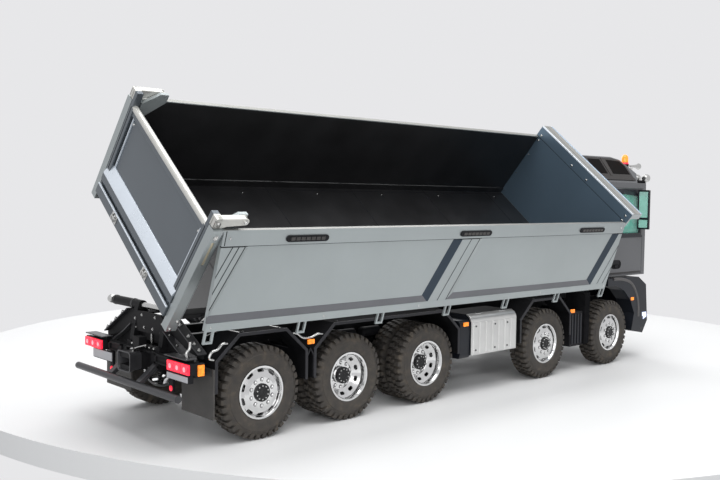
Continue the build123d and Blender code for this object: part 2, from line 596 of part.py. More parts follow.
def cab_shell():
    """Hollow cab with door openings, a windscreen opening and hinge lugs."""
    shell = cab_solid(0) - cab_solid(CAB_WALL)
    low, high = DOOR_Z
    shell -= box((DOOR_X[0] - SWING, DOOR_X[1] + SWING), (-CAB_HALF - 1, CAB_HALF + 1), (low - SWING, high + SWING))
    shell -= box((CAB_FRONT - 14.0, CAB_FRONT + 5.0), (-CAB_HALF + 7.0, CAB_HALF - 7.0), (SILL_Z, BROW_Z - 3.0))
    pin_x, pin_z = CAB_PIN
    for edge in (-RAIL_OUT - SWING - 3.0, -RAIL_OUT + 4.0 + SWING):
        lug = box((pin_x - CAB_EAR_R, pin_x + CAB_EAR_R), (edge, edge + 3.0), (pin_z, CAB_Z + 1.0))
        lug += rod_y(pin_x, (edge, edge + 3.0), pin_z, CAB_EAR_R)
        shell += pair(lug)
    shell += pair(rod_y(pin_x, (-RAIL_OUT - SWING - 3.0, -RAIL_OUT + 7.0 + SWING), pin_z, CAB_PIN_R))
    return shell


def door():
    """The right door with its window cut."""
    panel = box(DOOR_X, (-CAB_HALF, -CAB_HALF + DOOR_T), DOOR_Z)
    window = [(DOOR_X[0] + 7, SILL_Z), (DOOR_X[1] - 6, SILL_Z), (DOOR_X[1] - 8, DOOR_Z[1] - 5), (DOOR_X[0] + 7, DOOR_Z[1] - 5)]
    panel -= plate_xz(window, (-CAB_HALF - 1, -CAB_HALF + DOOR_T + 1))
    panel += box((516.0, 534.0), (-CAB_HALF - 1.5, -CAB_HALF + 0.5), (118.0, 122.0))
    return panel


def door_glass():
    """The right door's pane, just inside its window."""
    return box((DOOR_X[0] + 5, DOOR_X[1] - 4.5), (-CAB_HALF + DOOR_T, -CAB_HALF + DOOR_T + 0.8), (SILL_Z - 2, DOOR_Z[1] - 3))


def windscreen():
    """The windscreen pane behind its opening."""
    slant = 4.0 / (BROW_Z - SILL_Z)
    inner = CAB_FRONT - CAB_WALL
    top = BROW_Z - CAB_WALL - SEAT
    lean = slant * (top - SILL_Z)
    pane = [(inner, SILL_Z - 2), (inner - 1.0, SILL_Z - 2), (inner - 1.0 - lean, top), (inner - lean, top)]
    return plate_xz(pane, (-CAB_HALF + 5.0, CAB_HALF - 5.0))


def cab_interior():
    """Dashboard with a steering wheel, and two seats on the cab floor."""
    floor = CAB_Z + CAB_WALL
    dash = box((CAB_FRONT - 26, CAB_FRONT - 5), (-CAB_HALF + 8, CAB_HALF - 8), (floor, SILL_Z - 6))
    dash -= box((CAB_FRONT - 27, CAB_FRONT - 12), (-CAB_HALF + 7, CAB_HALF - 7), (floor + 4, SILL_Z - 22))
    wheel = Pos(CAB_FRONT - 34, 38, SILL_Z - 4) * Rot(0, -35, 0) * Torus(13.0, 1.2)
    column = rod_between((CAB_FRONT - 34, 38, SILL_Z - 4), (CAB_FRONT - 16, 38, SILL_Z - 22), 1.6)
    spokes = Pos(CAB_FRONT - 34, 38, SILL_Z - 4) * Rot(0, -35, 0) * Box(3.0, 26.0, 1.4)
    parts = dash + wheel + column + spokes
    for y in (-38.0, 38.0):
        parts += box((514, 546), (y - 16, y + 16), (floor, floor + 22))
        parts += box((506, 516), (y - 15, y + 15), (floor + 20, floor + 70))
    return parts


def cab_grille():
    """Front panel of the cab with level bars."""
    panel = box((CAB_FRONT, CAB_FRONT + 2.0), (-CAB_HALF + 2, CAB_HALF - 2), (CAB_Z + 7, SILL_Z - 6))
    for i in range(5):
        z = CAB_Z + 10 + i * 7.5
        panel += box((CAB_FRONT + 1, CAB_FRONT + 5), (-CAB_HALF + 14, CAB_HALF - 14), (z, z + 4.0))
    return panel


def roof_gear():
    """Two warning beacons and two horns on the roof, and a lamp bar over the windscreen."""
    x, y = BEACON_AT
    beacon = rod_z(x, -y, (ROOF_Z - 15.0, ROOF_Z - 9.5), 2.0) + rod_z(x, -y, (ROOF_Z - 10.0, ROOF_Z - 8.0), 5.0)
    beacon += rod_z(x, -y, (ROOF_Z - 8.5, ROOF_Z - 0.5), 4.2) + Pos(x, -y, ROOF_Z - 0.5) * Sphere(4.2)
    x, y = HORN_AT
    horn = Pos(VISOR_X - HORN_LEN / 2, -y, ROOF_Z - 10.5) * Rot(0, 90, 0) * Cone(1.2, 3.8, HORN_LEN)
    horn += rod_z(x, -y, (ROOF_Z - 25.0, ROOF_Z - 10.0), 1.2)
    bar = rod_y(VISOR_X - 4.0, (-76.0, 76.0), BROW_Z + 2.0, 2.0)
    for y in (-75.0, -62.0, -24.0, 24.0, 62.0, 75.0):
        bar += rod_x((VISOR_X - 7.0, VISOR_X), y, BROW_Z + 6.5, 5.0)
    for y in (-50.0, 50.0):
        bar += box((CAB_FRONT - 1.5, VISOR_X - 3.0), (y - 2.0, y + 2.0), (BROW_Z, BROW_Z + 3.5))
    return pair(beacon + horn) + bar - cab_solid(0)


def mirror_right():
    """Tall mirror housing facing back, with two faces, on arms from the door's front edge."""
    low, high = MIRROR_Z
    outer = -CAB_HALF - 2.5 - MIRROR_W
    plan = [(MIRROR_X, outer), (MIRROR_X, outer + MIRROR_W), (MIRROR_X + 5.0, outer + MIRROR_W - 1.0),
            (MIRROR_X + 8.0, outer + MIRROR_W - 5.0), (MIRROR_X + 8.0, outer + 5.0), (MIRROR_X + 5.0, outer + 1.0)]
    housing = extrude(Plane(origin=(0, 0, low)) * make_face(Polyline(*plan, close=True)), amount=high - low)
    # low and high edge of each sunk mirror face
    for z0, z1 in ((low + 1.5, low + 12.0), (low + 14.0, high - 1.5)):
        housing -= box((MIRROR_X - 1, MIRROR_X + 1.0), (outer + 1.5, outer + MIRROR_W - 1.5), (z0, z1))
    for z in (low + 4.0, high - 6.5):
        housing += box((MIRROR_X + 4.0, DOOR_X[1] - 3.0), (-CAB_HALF - 5.0, -CAB_HALF - 2.5), (z, z + 2.5))
        housing += box((DOOR_X[1] - 5.5, DOOR_X[1] - 3.0), (-CAB_HALF - 5.0, -CAB_HALF), (z, z + 2.5))
    return housing


def underrun_bar():
    """Round bar across the back on two slanted struts."""
    bar = rod_y(-75.0, (-85.0, 85.0), 43.0, 3.0)
    strut = rod_between((-75.0, -24.0, 43.0), (FRAME_REAR - 1.0, -24.0, RAIL_Z + 3.0), 1.8)
    return bar + pair(strut)


def tow_coupling():
    """Jaw for a drawbar eye, open to the rear, with the pin's hole through both lips."""
    x = (COUPLING_X - 7.0, FRAME_REAR)
    jaw = box(x, (-8.0, 8.0), (COUPLING_Z - 7.0, COUPLING_Z + 7.0))
    jaw -= box((x[0] - 1, COUPLING_X + 4.0), (-9.0, 9.0), (COUPLING_Z - 3.0, COUPLING_Z + 3.0))
    jaw -= rod_z(COUPLING_X, 0, (COUPLING_Z - 10, COUPLING_Z + 10), COUPLING_R)
    jaw += box((COUPLING_X + 3.5, FRAME_REAR), (-4.5, 4.5), (COUPLING_Z + 6.0, COUPLING_Z + 19.0))
    return jaw


def lamps():
    """Tail lamps and headlamps."""
    tail = box((-68.0, -62.0), (-87.5, -55.0), (59.5, 68.5))
    head = box((CAB_FRONT - 14, CAB_FRONT + 1), (-86.0, -66.0), (49.0, 60.0))
    return pair(tail) + pair(head)


def lamp_bracket():
    """Bracket from the frame's end to a tail lamp."""
    return box((-62.0, FRAME_REAR + 1.0), (-84.0, -RAIL_IN), (60.0, 68.0))


def arch(x0, x1, top, foot, edge, y):
    """A chamfered mudguard between two legs."""
    t = 1.5
    c = 22.0
    outside = [(x0, foot), (x0, top - edge), (x0 + c, top), (x1 - c, top), (x1, top - edge), (x1, foot)]
    inside = [(x1 - t, foot), (x1 - t, top - edge - 0.5), (x1 - c - 0.6, top - t), (x0 + c + 0.6, top - t),
              (x0 + t, top - edge - 0.5), (x0 + t, foot)]
    return plate_xz(outside + inside, y)


def mudguards():
    """Black guards over axles 2 to 5 on both sides, each on stays from the frame."""
    # rear end, front end, inner edge
    spans = [
        (AXLE_X["5"] - 45.0, AXLE_X["5"] + 46.0, 62.0),
        (AXLE_X["4"] - 43.0, AXLE_X["3"] + 43.0, 44.0),
        (AXLE_X["2"] + GUARD_2[0], AXLE_X["2"] + GUARD_2[1], 62.0),
    ]
    guards = Part()
    for x0, x1, inner in spans:
        y = (-HALF_WIDTH, -inner)
        guards += arch(x0, x1, 88.0, 43.0, 20.0, y)
        for x in (x0 + 0.75, x1 - 0.75):
            guards += box((x - 0.75, x + 0.75), (-inner - 1.0, -RAIL_OUT), (60.0, 66.0))
    rear = AXLE_X["1"] + COLUMN_X
    column = plate_xz([(rear, 30.0), (rear + 9.5, 30.0), (rear + 11.0, 88.5), (rear + 1.5, 88.5)], (-HALF_WIDTH, -62.0))
    column += box((rear + 2.0, rear + 8.0), (-62.5, -RAIL_OUT), (58.0, 68.0))
    guards += column
    return pair(guards)


def mud_flaps():
    """Flaps behind the rear wheels, against the rear guards' legs."""
    leg = AXLE_X["5"] - 45.0
    return pair(box((leg - 1.5, leg), (-HALF_WIDTH, -42.0), (23.0, 62.0)))


def toolbox():
    """Ribbed locker on the right side, and its plain end box."""
    y0, y1 = -HALF_WIDTH + 1.0, -45.0
    outline = [(y0, 38.5), (y0, 73.0), (y0 + 7.0, 79.5), (y1, 79.5), (y1, 38.5)]
    body = plate_yz(outline, (256.0, 328.0))
    for x in (262.0, 273.0, 284.0, 295.0, 306.0, 317.0):
        body += box((x, x + 5.0), (y0 - 0.8, y0 + 1.0), (41.0, 71.0))
    body += box((241.0, 256.5), (y0 + 2, y1), (36.0, 74.0))
    return body + box((262.0, 320.0), (y1 - 0.5, -RAIL_OUT), (56.0, 68.0))


def fuel_tank():
    """Tank on the left side."""
    y0, y1 = HALF_WIDTH - 1.0, 45.0
    body = box((243.0, 328.0), (y1, y0), (36.0, 78.0))
    return body + box((255.0, 315.0), (RAIL_OUT, y1 + 0.5), (56.0, 68.0))


def side_tanks():
    """Dark tanks between axles 1 and 2 on both sides."""
    x0 = AXLE_X["2"] + GUARD_2[1] + 1.0
    x1 = AXLE_X["1"] + COLUMN_X - 1.0
    tank = box((x0, x1), (-HALF_WIDTH + 2, -52.0), (29.0, 68.0))
    tank += box((x0 + 6.0, x1 - 6.0), (-52.5, -RAIL_OUT), (56.0, 66.0))
    return pair(tank)


def front_bumper():
    """Bumper with the front wheels' arches."""
    wheel = AXLE_X["1"]
    side = [(wheel - 8, CAB_Z - 1.2), (570, CAB_Z - 1.7), (588, 91), (593, 46), (582, 31), (556, 36)]
    for angle in (20, 40, 60, 80, 98):
        turn = radians(angle)
        side.append((wheel + 56 * cos(turn), AXLE_Z + 56 * sin(turn)))
    corner = plate_xz(side, (-HALF_WIDTH, -68.0))
    bar = box((584.0, 599.0), (-68.5, 68.5), (40.0, 95.0))
    bar -= box((583.0, 595.0), (-66.5, 66.5), (39.0, 96.0))
    bar += box((FRAME_FRONT, 597.0), (-20.0, 20.0), (58.0, 68.0))
    lamp_seat = box((CAB_FRONT - 14.3, CAB_FRONT + 4), (-86.3, -65.7), (48.7, 60.3))
    return pair(corner) + bar - pair(lamp_seat)


def driveline():
    """Motor and gearbox block between the rails, with the shafts to the driven axles."""
    block = box((505.0, 566.0), (-RAIL_IN + SEAT, RAIL_IN - SEAT), (46.0, 93.0))
    nose = AXLE_X["3"] + DIFF_R + 4.0
    shaft = rod_between((505.5, 0, 50.0), (nose + SEAT, 0, AXLE_Z + 3.0), 2.5)
    link = rod_x((AXLE_X["4"] + DIFF_R + 4.0 + SEAT, AXLE_X["3"] - DIFF_R - SEAT), 0, AXLE_Z + 3.0, 2.5)
    return block + shaft + link


nodes = {
    "frame": frame(),
    "tipping_subframe": tipping_subframe(),
    "bed_journals": bed_journals(),
    "driveline": driveline(),
    "underrun_bar": underrun_bar(),
    "tow_coupling": tow_coupling(),
    "lamps": lamps(),
    "mudguards": mudguards(),
    "mud_flaps": mud_flaps(),
    "toolbox": toolbox(),
    "side_tanks": side_tanks() + fuel_tank(),
    "front_bumper": front_bumper(),
    "bed_floor": bed_floor(),
    "bed_front_wall": bed_front_wall(),
    "bed_posts": bed_posts(),
    "tailgate": tailgate(),
    "side_wall_right": tipped(opened(side_wall(), SIDE_OPEN)),
    "side_wall_left": tipped(mirrored(side_wall())),
    "ram_barrel": ram_stage(0),
    "ram_stage": ram_stage(1),
    "ram_rod": ram_stage(2),
    "cab_shell": cab_shell(),
    "windscreen": windscreen(),
    "cab_interior": cab_interior(),
    "cab_grille": cab_grille(),
    "roof_gear": roof_gear(),
    "door_right": door(),
    "door_left": mirrored(door()),
    "door_glass_right": door_glass(),
    "door_glass_left": mirrored(door_glass()),
    "mirror_right": mirror_right(),
    "mirror_left": mirrored(mirror_right()),
}

axles = Part()
springs = Part()
for name, x, wheels, share in AXLES:
    springs += pair(spring(x, BEAM_H / 2 if wheels == "single" else TUBE_R))
    if wheels == "single":
        axles += steered_beam(x)
    else:
        axles += driven_axle(x)
    for side in ("right", "left"):
        if wheels == "single":
            nodes[f"tyre_{name}_{side}"] = placed(tyre(SINGLE_W), x, SINGLE_Y, side)
            nodes[f"rim_{name}_{side}"] = placed(single_rim(), x, SINGLE_Y, side)
            arm = knuckle(x)
            nodes[f"knuckle_{name}_{side}"] = arm if side == "right" else mirrored(arm)
        else:
            off = (TWIN_TYRE_W + TWIN_GAP) / 2
            both = Pos(0, -off, 0) * tyre(TWIN_TYRE_W) + Pos(0, off, 0) * tyre(TWIN_TYRE_W, lugged=False)
            nodes[f"tyres_{name}_{side}"] = placed(both, x, TWIN_Y, side)
            nodes[f"rim_{name}_{side}"] = placed(twin_rim(), x, TWIN_Y, side)
nodes["axles"] = axles
nodes["leaf_springs"] = springs

os.makedirs("parts", exist_ok=True)
to_origin = Location((-COUPLING_X, 0, -COUPLING_Z))
for name, shape in nodes.items():
    export_step(shape.moved(to_origin), f"parts/{name}.step")
print(len(nodes), "nodes; lean", round(RAM_LEAN, 3), "stroke", round(RAM_STROKE, 3), "ball", BALL_Y, BALL_Z)
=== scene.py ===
import math

import bmesh
import bpy
from mathutils import Matrix, Vector


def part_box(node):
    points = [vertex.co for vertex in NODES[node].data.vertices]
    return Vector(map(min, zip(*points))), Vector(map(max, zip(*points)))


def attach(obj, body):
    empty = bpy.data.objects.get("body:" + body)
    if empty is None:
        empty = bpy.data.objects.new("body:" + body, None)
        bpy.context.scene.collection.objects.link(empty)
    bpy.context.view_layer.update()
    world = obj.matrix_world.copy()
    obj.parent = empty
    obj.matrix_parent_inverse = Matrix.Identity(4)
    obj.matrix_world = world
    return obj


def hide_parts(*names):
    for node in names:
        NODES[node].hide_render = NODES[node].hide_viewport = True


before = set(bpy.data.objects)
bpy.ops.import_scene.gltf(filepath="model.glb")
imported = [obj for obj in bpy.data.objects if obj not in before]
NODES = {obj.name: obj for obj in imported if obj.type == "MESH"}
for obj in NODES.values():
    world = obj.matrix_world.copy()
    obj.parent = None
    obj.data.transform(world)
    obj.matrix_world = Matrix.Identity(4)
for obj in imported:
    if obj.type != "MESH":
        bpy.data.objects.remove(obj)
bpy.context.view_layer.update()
MM = 0.001

# Camera, fitted to the photograph. The ground frame of the fit has x = 0 at the rearmost axle
# and z = 0 on the ground.
CAMERA_AT = (-408.98, -647.8, 195.93)
CAMERA_AZIMUTH = 42.432
CAMERA_ELEVATION = -2.887
CAMERA_ROLL = 0.814
CAMERA_LENS = 43.606
CAMERA_SENSOR = 36

tyre_low, tyre_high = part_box("tyre_5_right")
AXLE_5 = (tyre_low + tyre_high) / 2
GROUND = Vector((AXLE_5.x, 0, tyre_low.z))


def at(x, y, z):
    """A point of the ground frame, given in millimetres, in the row frame in metres."""
    return GROUND + Vector((x, y, z)) * MM


# Materials

# how deep a full bump is, in metres
GRAIN_DEPTH = 0.0002


def set_inputs(node, **values):
    """Sets sockets of a node by name, with an underscore for each space."""
    for name, value in values.items():
        node.inputs[name.replace("_", " ")].default_value = value


class Finish:
    """A principled material coloured by a noise through a ramp of (position, colour) stops."""

    def __init__(self, name, stops, scale, detail=4, noise_rough=0.55):
        self.mat = bpy.data.materials.new(name)
        self.mat.use_nodes = True
        self.nodes, self.links = self.mat.node_tree.nodes, self.mat.node_tree.links
        self.shader = self.nodes["Principled BSDF"]
        self.noise = self.new_noise(scale, detail, noise_rough)
        tint = self.nodes.new("ShaderNodeValToRGB")
        elements = tint.color_ramp.elements
        while len(elements) < len(stops):
            elements.new(0.5)
        for element, (place, colour) in zip(elements, stops):
            element.position = place
            element.color = (*colour, 1)
        self.colour = tint.outputs["Color"]
        self.links.new(self.noise, tint.inputs["Fac"])
        self.links.new(self.colour, self.shader.inputs["Base Color"])

    def new_noise(self, scale, detail, rough=0.55):
        """The value of a noise on object coordinates; scale is in features per metre."""
        coords = self.nodes.new("ShaderNodeTexCoord")
        noise = self.nodes.new("ShaderNodeTexNoise")
        set_inputs(noise, Scale=scale, Detail=detail, Roughness=rough)
        self.links.new(coords.outputs["Object"], noise.inputs["Vector"])
        return noise.outputs["Fac"]

    def drift_roughness(self, low, high):
        """Lets the roughness follow the colour's noise."""
        span = self.nodes.new("ShaderNodeMapRange")
        set_inputs(span, To_Min=low, To_Max=high)
        self.links.new(self.noise, span.inputs["Value"])
        self.links.new(span.outputs["Result"], self.shader.inputs["Roughness"])

    def add_grain(self, scale, detail, strength):
        """Adds a fine bump."""
        bump = self.nodes.new("ShaderNodeBump")
        set_inputs(bump, Strength=strength, Distance=GRAIN_DEPTH)
        self.links.new(self.new_noise(scale, detail), bump.inputs["Height"])
        self.links.new(bump.outputs["Normal"], self.shader.inputs["Normal"])


def surface(name, colour, spread, metallic, rough, rough_spread, scale, bump=0, grain=900,
            coat=0, gloss=0.5):
    """A surface whose colour and roughness drift a little, with a fine grain."""
    low = [c * (1 - spread) for c in colour]
    high = [min(1, c * (1 + spread)) for c in colour]
    finish = Finish(name, [(0.3, low), (0.7, high)], scale)
    finish.drift_roughness(max(0.02, rough - rough_spread), rough + rough_spread)
    set_inputs(finish.shader, Metallic=metallic, Coat_Weight=coat, Specular_IOR_Level=gloss)
    if bump:
        finish.add_grain(grain, 2, bump)
    return finish.mat


def glow(name, colour, strength):
    """A lit lens: a coloured gloss surface that also shines, a little unevenly."""
    finish = Finish(name, [(0.35, [c * 0.6 for c in colour]), (0.6, colour)], 500, 1)
    finish.links.new(finish.colour, finish.shader.inputs["Emission Color"])
    set_inputs(finish.shader, Emission_Strength=strength, Roughness=0.2)
    return finish.mat


def glass(name, colour, alpha):
    """Tinted window glass."""
    finish = Finish(name, [(0.3, [c * 0.94 for c in colour]), (0.7, colour)], 20, 1)
    set_inputs(finish.shader, Roughness=0.04, Alpha=alpha, IOR=1.45)
    return finish.mat


def rubber(name):
    """Tyre rubber, dark with dusty brown patches."""
    finish = Finish(name, [(0.3, (0.03, 0.027, 0.025)), (0.55, (0.052, 0.045, 0.038)),
                           (0.78, (0.105, 0.084, 0.062))], 140, 6, 0.6)
    finish.drift_roughness(0.62, 0.92)
    finish.add_grain(1800, 3, 0.35)
    return finish.mat


# Each finish: its slot in the record, colour, and then its colour spread, metallic, roughness, roughness
# spread, patches per metre, bump, grains per metre, coat and gloss, as surface takes them
SURFACES = {
    "bed_paint": ("bed_paint", (0.345, 0.378, 0.382), 0.05, 0.55, 0.34, 0.05, 14, 0.05, 2500, 0.25),
    # painted shade: a darker copy of the bed paint, for the tailgate's panel and rims that face away from the
    # lamps
    "painted_shade_paint": ("bed_paint", (0.105, 0.122, 0.138), 0.06, 0.5, 0.36, 0.05, 14, 0.05, 2500, 0.2),
    # painted shade with a painted bluish reflection: a darker, bluer copy of the bed paint for both faces of
    # the front wall
    "painted_shade_bluish_paint": ("bed_paint", (0.125, 0.185, 0.245), 0.08, 0.6, 0.34, 0.06, 9, 0.05, 2500, 0.2),
    "shaded_paint": ("bed_paint", (0.15, 0.153, 0.165), 0.08, 0.4, 0.4, 0.06, 30, 0.05, 2500),
    "rib_shade": ("bed_paint", (0.022, 0.036, 0.054), 0.1, 0.4, 0.4, 0.06, 30, 0.05, 2500),
    # painted highlight: a near-white, bluish copy of the bed paint for the front rail's near edge and the
    # tailgate's ledge and upright strips
    "bright_trim": ("bed_paint", (0.8, 0.86, 0.93), 0.04, 0.35, 0.28, 0.06, 40, 0.04, 2500),
    # painted highlight: a pale copy of the bed paint for the tailgate's round top rail and arms
    "painted_highlight_paint": ("bed_paint", (0.58, 0.575, 0.54), 0.05, 0.5, 0.36, 0.06, 40, 0.05, 2500),
    # painted light: a warmer copy of the bed paint for the top faces of the side walls and the front rail
    "rail_band": ("bed_paint", (0.32, 0.32, 0.3), 0.06, 0.5, 0.34, 0.06, 30, 0.05, 2500),
    # painted highlight: a lighter, bluer copy of the bed paint for the front rail's outer strip
    "rail_edge": ("bed_paint", (0.42, 0.54, 0.68), 0.06, 0.5, 0.3, 0.06, 30, 0.05, 2500),
    # a near-black finish for the bed's floor and for sheets laid over the inner faces of the walls and
    # tailgate
    "bed_lining": ("bed_lining", (0.012, 0.012, 0.013), 0.3, 0.2, 0.33, 0.08, 30, 0.08, 1200),
    "cab_paint": ("cab_paint", (0.105, 0.108, 0.115), 0.05, 0.35, 0.33, 0.05, 20, 0.03, 2500, 0.3),
    "roof_trim": ("cab_paint", (0.03, 0.027, 0.026), 0.15, 0, 0.5, 0.08, 60, 0.1, 1800, 0, 0.35),
    "cab_trim": ("cab_trim", (0.02, 0.02, 0.022), 0.2, 0, 0.6, 0.08, 150, 0.3, 2500),
    "black_frame": ("black_frame", (0.01, 0.01, 0.011), 0.3, 0, 0.55, 0.1, 90, 0.12, 1800, 0, 0.14),
    "satin_tube": ("black_frame", (0.05, 0.05, 0.054), 0.12, 0.3, 0.34, 0.07, 120, 0.1, 1800),
    "dark_hub": ("black_frame", (0.02, 0.02, 0.021), 0.2, 0.6, 0.35, 0.08, 200, 0.1, 2000),
    "black_plastic": ("black_plastic", (0.012, 0.012, 0.014), 0.25, 0, 0.55, 0.1, 120, 0.2, 2200, 0, 0.14),
    "seam_black": ("black_plastic", (0.012, 0.012, 0.013), 0.2, 0, 0.8, 0.1, 200, 0.1, 2000, 0, 0.12),
    "gloss_black": ("black_plastic", (0.01, 0.012, 0.017), 0.25, 0, 0.38, 0.06, 40, 0.03, 1500, 0, 0.3),
    "guard_black": ("black_plastic", (0.009, 0.009, 0.01), 0.3, 0, 0.85, 0.08, 90, 0.15, 1800, 0, 0.03),
    "guard_edge": ("black_plastic", (0.024, 0.024, 0.028), 0.2, 0, 0.5, 0.08, 90, 0.1, 1800, 0, 0.3),
    "arch_tube": ("black_plastic", (0.085, 0.08, 0.08), 0.12, 0.1, 0.45, 0.07, 120, 0.1, 1800),
    "smoked_cell": ("black_plastic", (0.03, 0.026, 0.024), 0.25, 0, 0.3, 0.05, 400, 0.05, 1500, 0.1),
    "dark_pane": ("black_plastic", (0.006, 0.005, 0.005), 0.2, 0, 0.6, 0.05, 50, 0, 900, 0, 0.04),
    "blank_plate": ("black_plastic", (0.5, 0.5, 0.52), 0.03, 0, 0.4, 0.06, 60, 0.05, 1500),
    "flap_rubber": ("black_plastic", (0.055, 0.052, 0.049), 0.3, 0, 0.62, 0.1, 60, 0.3, 1500),
    "bright_steel": ("bright_steel", (0.54, 0.54, 0.53), 0.06, 1, 0.22, 0.06, 300, 0.05, 3000),
    "cast_grey": ("bright_steel", (0.05, 0.05, 0.052), 0.2, 0.5, 0.5, 0.1, 200, 0.3, 1500),
    "brass_slot": ("bright_steel", (0.62, 0.55, 0.4), 0.1, 0.6, 0.4, 0.08, 150, 0.1, 1800),
    "mirror_face": ("bright_steel", (0.46, 0.76, 0.68), 0.05, 0.35, 0.1, 0.03, 40),
    "polished_alloy": ("polished_alloy", (0.66, 0.66, 0.66), 0.05, 1, 0.13, 0.05, 200, 0.03, 3000),
    "silver_locker": ("silver_locker", (0.62, 0.62, 0.61), 0.05, 0.75, 0.32, 0.06, 60, 0.06, 2500),
    "spring_steel": ("spring_steel", (0.02, 0.02, 0.021), 0.25, 0.3, 0.45, 0.1, 150, 0.15, 2000),
}
# Each lit lens: its slot, colour and strength
GLOWS = {
    "red_lens": ("lamp_lens", (1, 0.02, 0.05), 1.3),
    "hot_red": ("lamp_lens", (1, 0.22, 0.26), 1.7),
    "cool_glow": ("lamp_lens", (0.62, 0.7, 1), 1.2),
    "white_lens": ("lamp_lens", (0.85, 0.9, 1), 2),
    "amber_lens": ("amber_lens", (1, 0.27, 0.02), 0.9),
}
M = {name: surface(name, *values[1:]) for name, values in SURFACES.items()}
M |= {name: glow(name, *values[1:]) for name, values in GLOWS.items()}
M |= {"tinted_glass": glass("tinted_glass", (0.16, 0.6, 0.47), 0.5), "tyre_rubber": rubber("tyre_rubber")}

# Sizes in millimetres, as in the CAD model
HALF_WIDTH = 88
TYRE_R = 38
AXLE_Z = TYRE_R
RIM_R = 21.5
SINGLE_W = 23
TWIN_TYRE_W = 21
TWIN_INSET = 2
TWIN_GAP = 2.5
TWIN_DISH = 13
NUT_RING_R = 10.7
HUB_R = 7.2
BED_HALF = 80
BED_PIVOT = (-77, 101)
BED_TILT = 40
WALL_TOP = 193
WALL_BOTTOM = 115
WALL_T = 4
WALL_PIN = (78, 191)
WALL_X = (-70.6, 451.6)
SIDE_OPEN = 22
CAB_FRONT = 596
ROOF_Z = 249
BROW_Z = 217
# Each axle: name, place, and whether its wheels are twins
AXLES = [("1", 509, False), ("2", 380, False), ("3", 194, True), ("4", 95.5, True), ("5", 0, False)]
SIDES = (("right", -1), ("left", 1))
AHEAD, BACK, UP = (1, 0, 0), (-1, 0, 0), (0, 0, 1)

# Places: each turns a point of the lowered, closed truck into its place at rest


def standing(point):
    """A point that stays where it is."""
    return point


def mirrored(point):
    """The mirror image of a standing point."""
    return (point[0], -point[1], point[2])


def turned_about(point, pivot, angle):
    """A point turned about a line along X through a (y, z) pivot."""
    y, z = point[1] - pivot[0], point[2] - pivot[1]
    turn = math.radians(angle)
    return (point[0], pivot[0] + y * math.cos(turn) - z * math.sin(turn),
            pivot[1] + y * math.sin(turn) + z * math.cos(turn))


def in_bed(point):
    """A point of the tipped bed."""
    return turned_about(point, BED_PIVOT, BED_TILT)


def in_right_wall(point):
    """A point of the open right wall."""
    return in_bed(turned_about(point, (-WALL_PIN[0], WALL_PIN[1]), -SIDE_OPEN))


def in_left_wall(point):
    """A point of the left wall, given as on the right one."""
    return in_bed(mirrored(point))


# Outlines and mesh shapes: each shape is (points, faces) in millimetres


def on(side, a, b):
    """Two y values on one side of the truck."""
    return side * a, side * b


def arc(a, b, radius, start, end, steps):
    """Points on a round stretch between two angles in degrees."""
    turns = [math.radians(start + (end - start) * i / steps) for i in range(steps + 1)]
    return [(a + radius * math.cos(turn), b + radius * math.sin(turn)) for turn in turns]


def stadium(x0, x1, z0, z1, steps=7):
    """An oblong outline with round ends."""
    r = (z1 - z0) / 2
    return arc(x1 - r, z0 + r, r, -90, 90, steps) + arc(x0 + r, z0 + r, r, 90, 270, steps)


def rounded(y, z, radius, steps=5):
    """A rectangle with round corners."""
    (y0, y1), (z0, z1) = (y[0] + radius, y[1] - radius), (z[0] + radius, z[1] - radius)
    corners = ((y1, z1), (y0, z1), (y0, z0), (y1, z0))
    return [point for i, corner in enumerate(corners)
            for point in arc(*corner, radius, 90 * i, 90 * i + 90, steps)]


def skin(rows, ring=False):
    """A skin over rows of points, closed by end faces or into a ring. A row of one point is a pole."""
    count = max(len(row) for row in rows)
    points, numbers = [], []
    for row in rows:
        numbers.append([len(points) + i % len(row) for i in range(count)])
        points += [tuple(point) for point in row]
    faces = []
    for low, high in zip(numbers, numbers[1:] + numbers[:1] if ring else numbers[1:]):
        for i in range(count):
            j = (i + 1) % count
            corners = tuple(dict.fromkeys((low[i], low[j], high[j], high[i])))
            if len(corners) > 2:
                faces.append(corners)
    if not ring:
        faces += [tuple(row) for row in (numbers[0], numbers[-1]) if row[0] != row[1]]
    return points, faces


def drawn_out(outline, span, put):
    """An outline drawn out between two places; put turns (a, b, along) into a point."""
    return skin([[put(a, b, along) for a, b in outline] for along in span])


def side_plate(outline, y):
    """An (x, z) outline, thick between two y values."""
    return drawn_out(outline, y, lambda a, b, along: (a, along, b))


def end_plate(outline, x):
    """A (y, z) outline, thick between two x values."""
    return drawn_out(outline, x, lambda a, b, along: (along, a, b))


def flat_plate(outline, z):
    """An (x, y) outline, thick between two z values."""
    return drawn_out(outline, z, lambda a, b, along: (a, b, along))


def block(x, y, z):
    """A block between two x, two y and two z values."""
    return end_plate([(y[0], z[0]), (y[0], z[1]), (y[1], z[1]), (y[1], z[0])], x)


def circle(middle, across, other, radius, steps):
    """Points round a middle, in the plane of two directions."""
    turns = [2 * math.pi * i / steps for i in range(steps)]
    return [middle + radius * (math.cos(turn) * across + math.sin(turn) * other) for turn in turns]


def turned(profile, centre, direction, steps=32, ring=False):
    """A profile of (radius, along) turned about a line through centre along direction."""
    ahead = Vector(direction).normalized()
    across = ahead.orthogonal().normalized()
    other = ahead.cross(across)
    rows = []
    for radius, along in profile:
        middle = Vector(centre) + ahead * along
        rows.append(circle(middle, across, other, radius, steps) if radius else [middle])
    return skin(rows, ring)


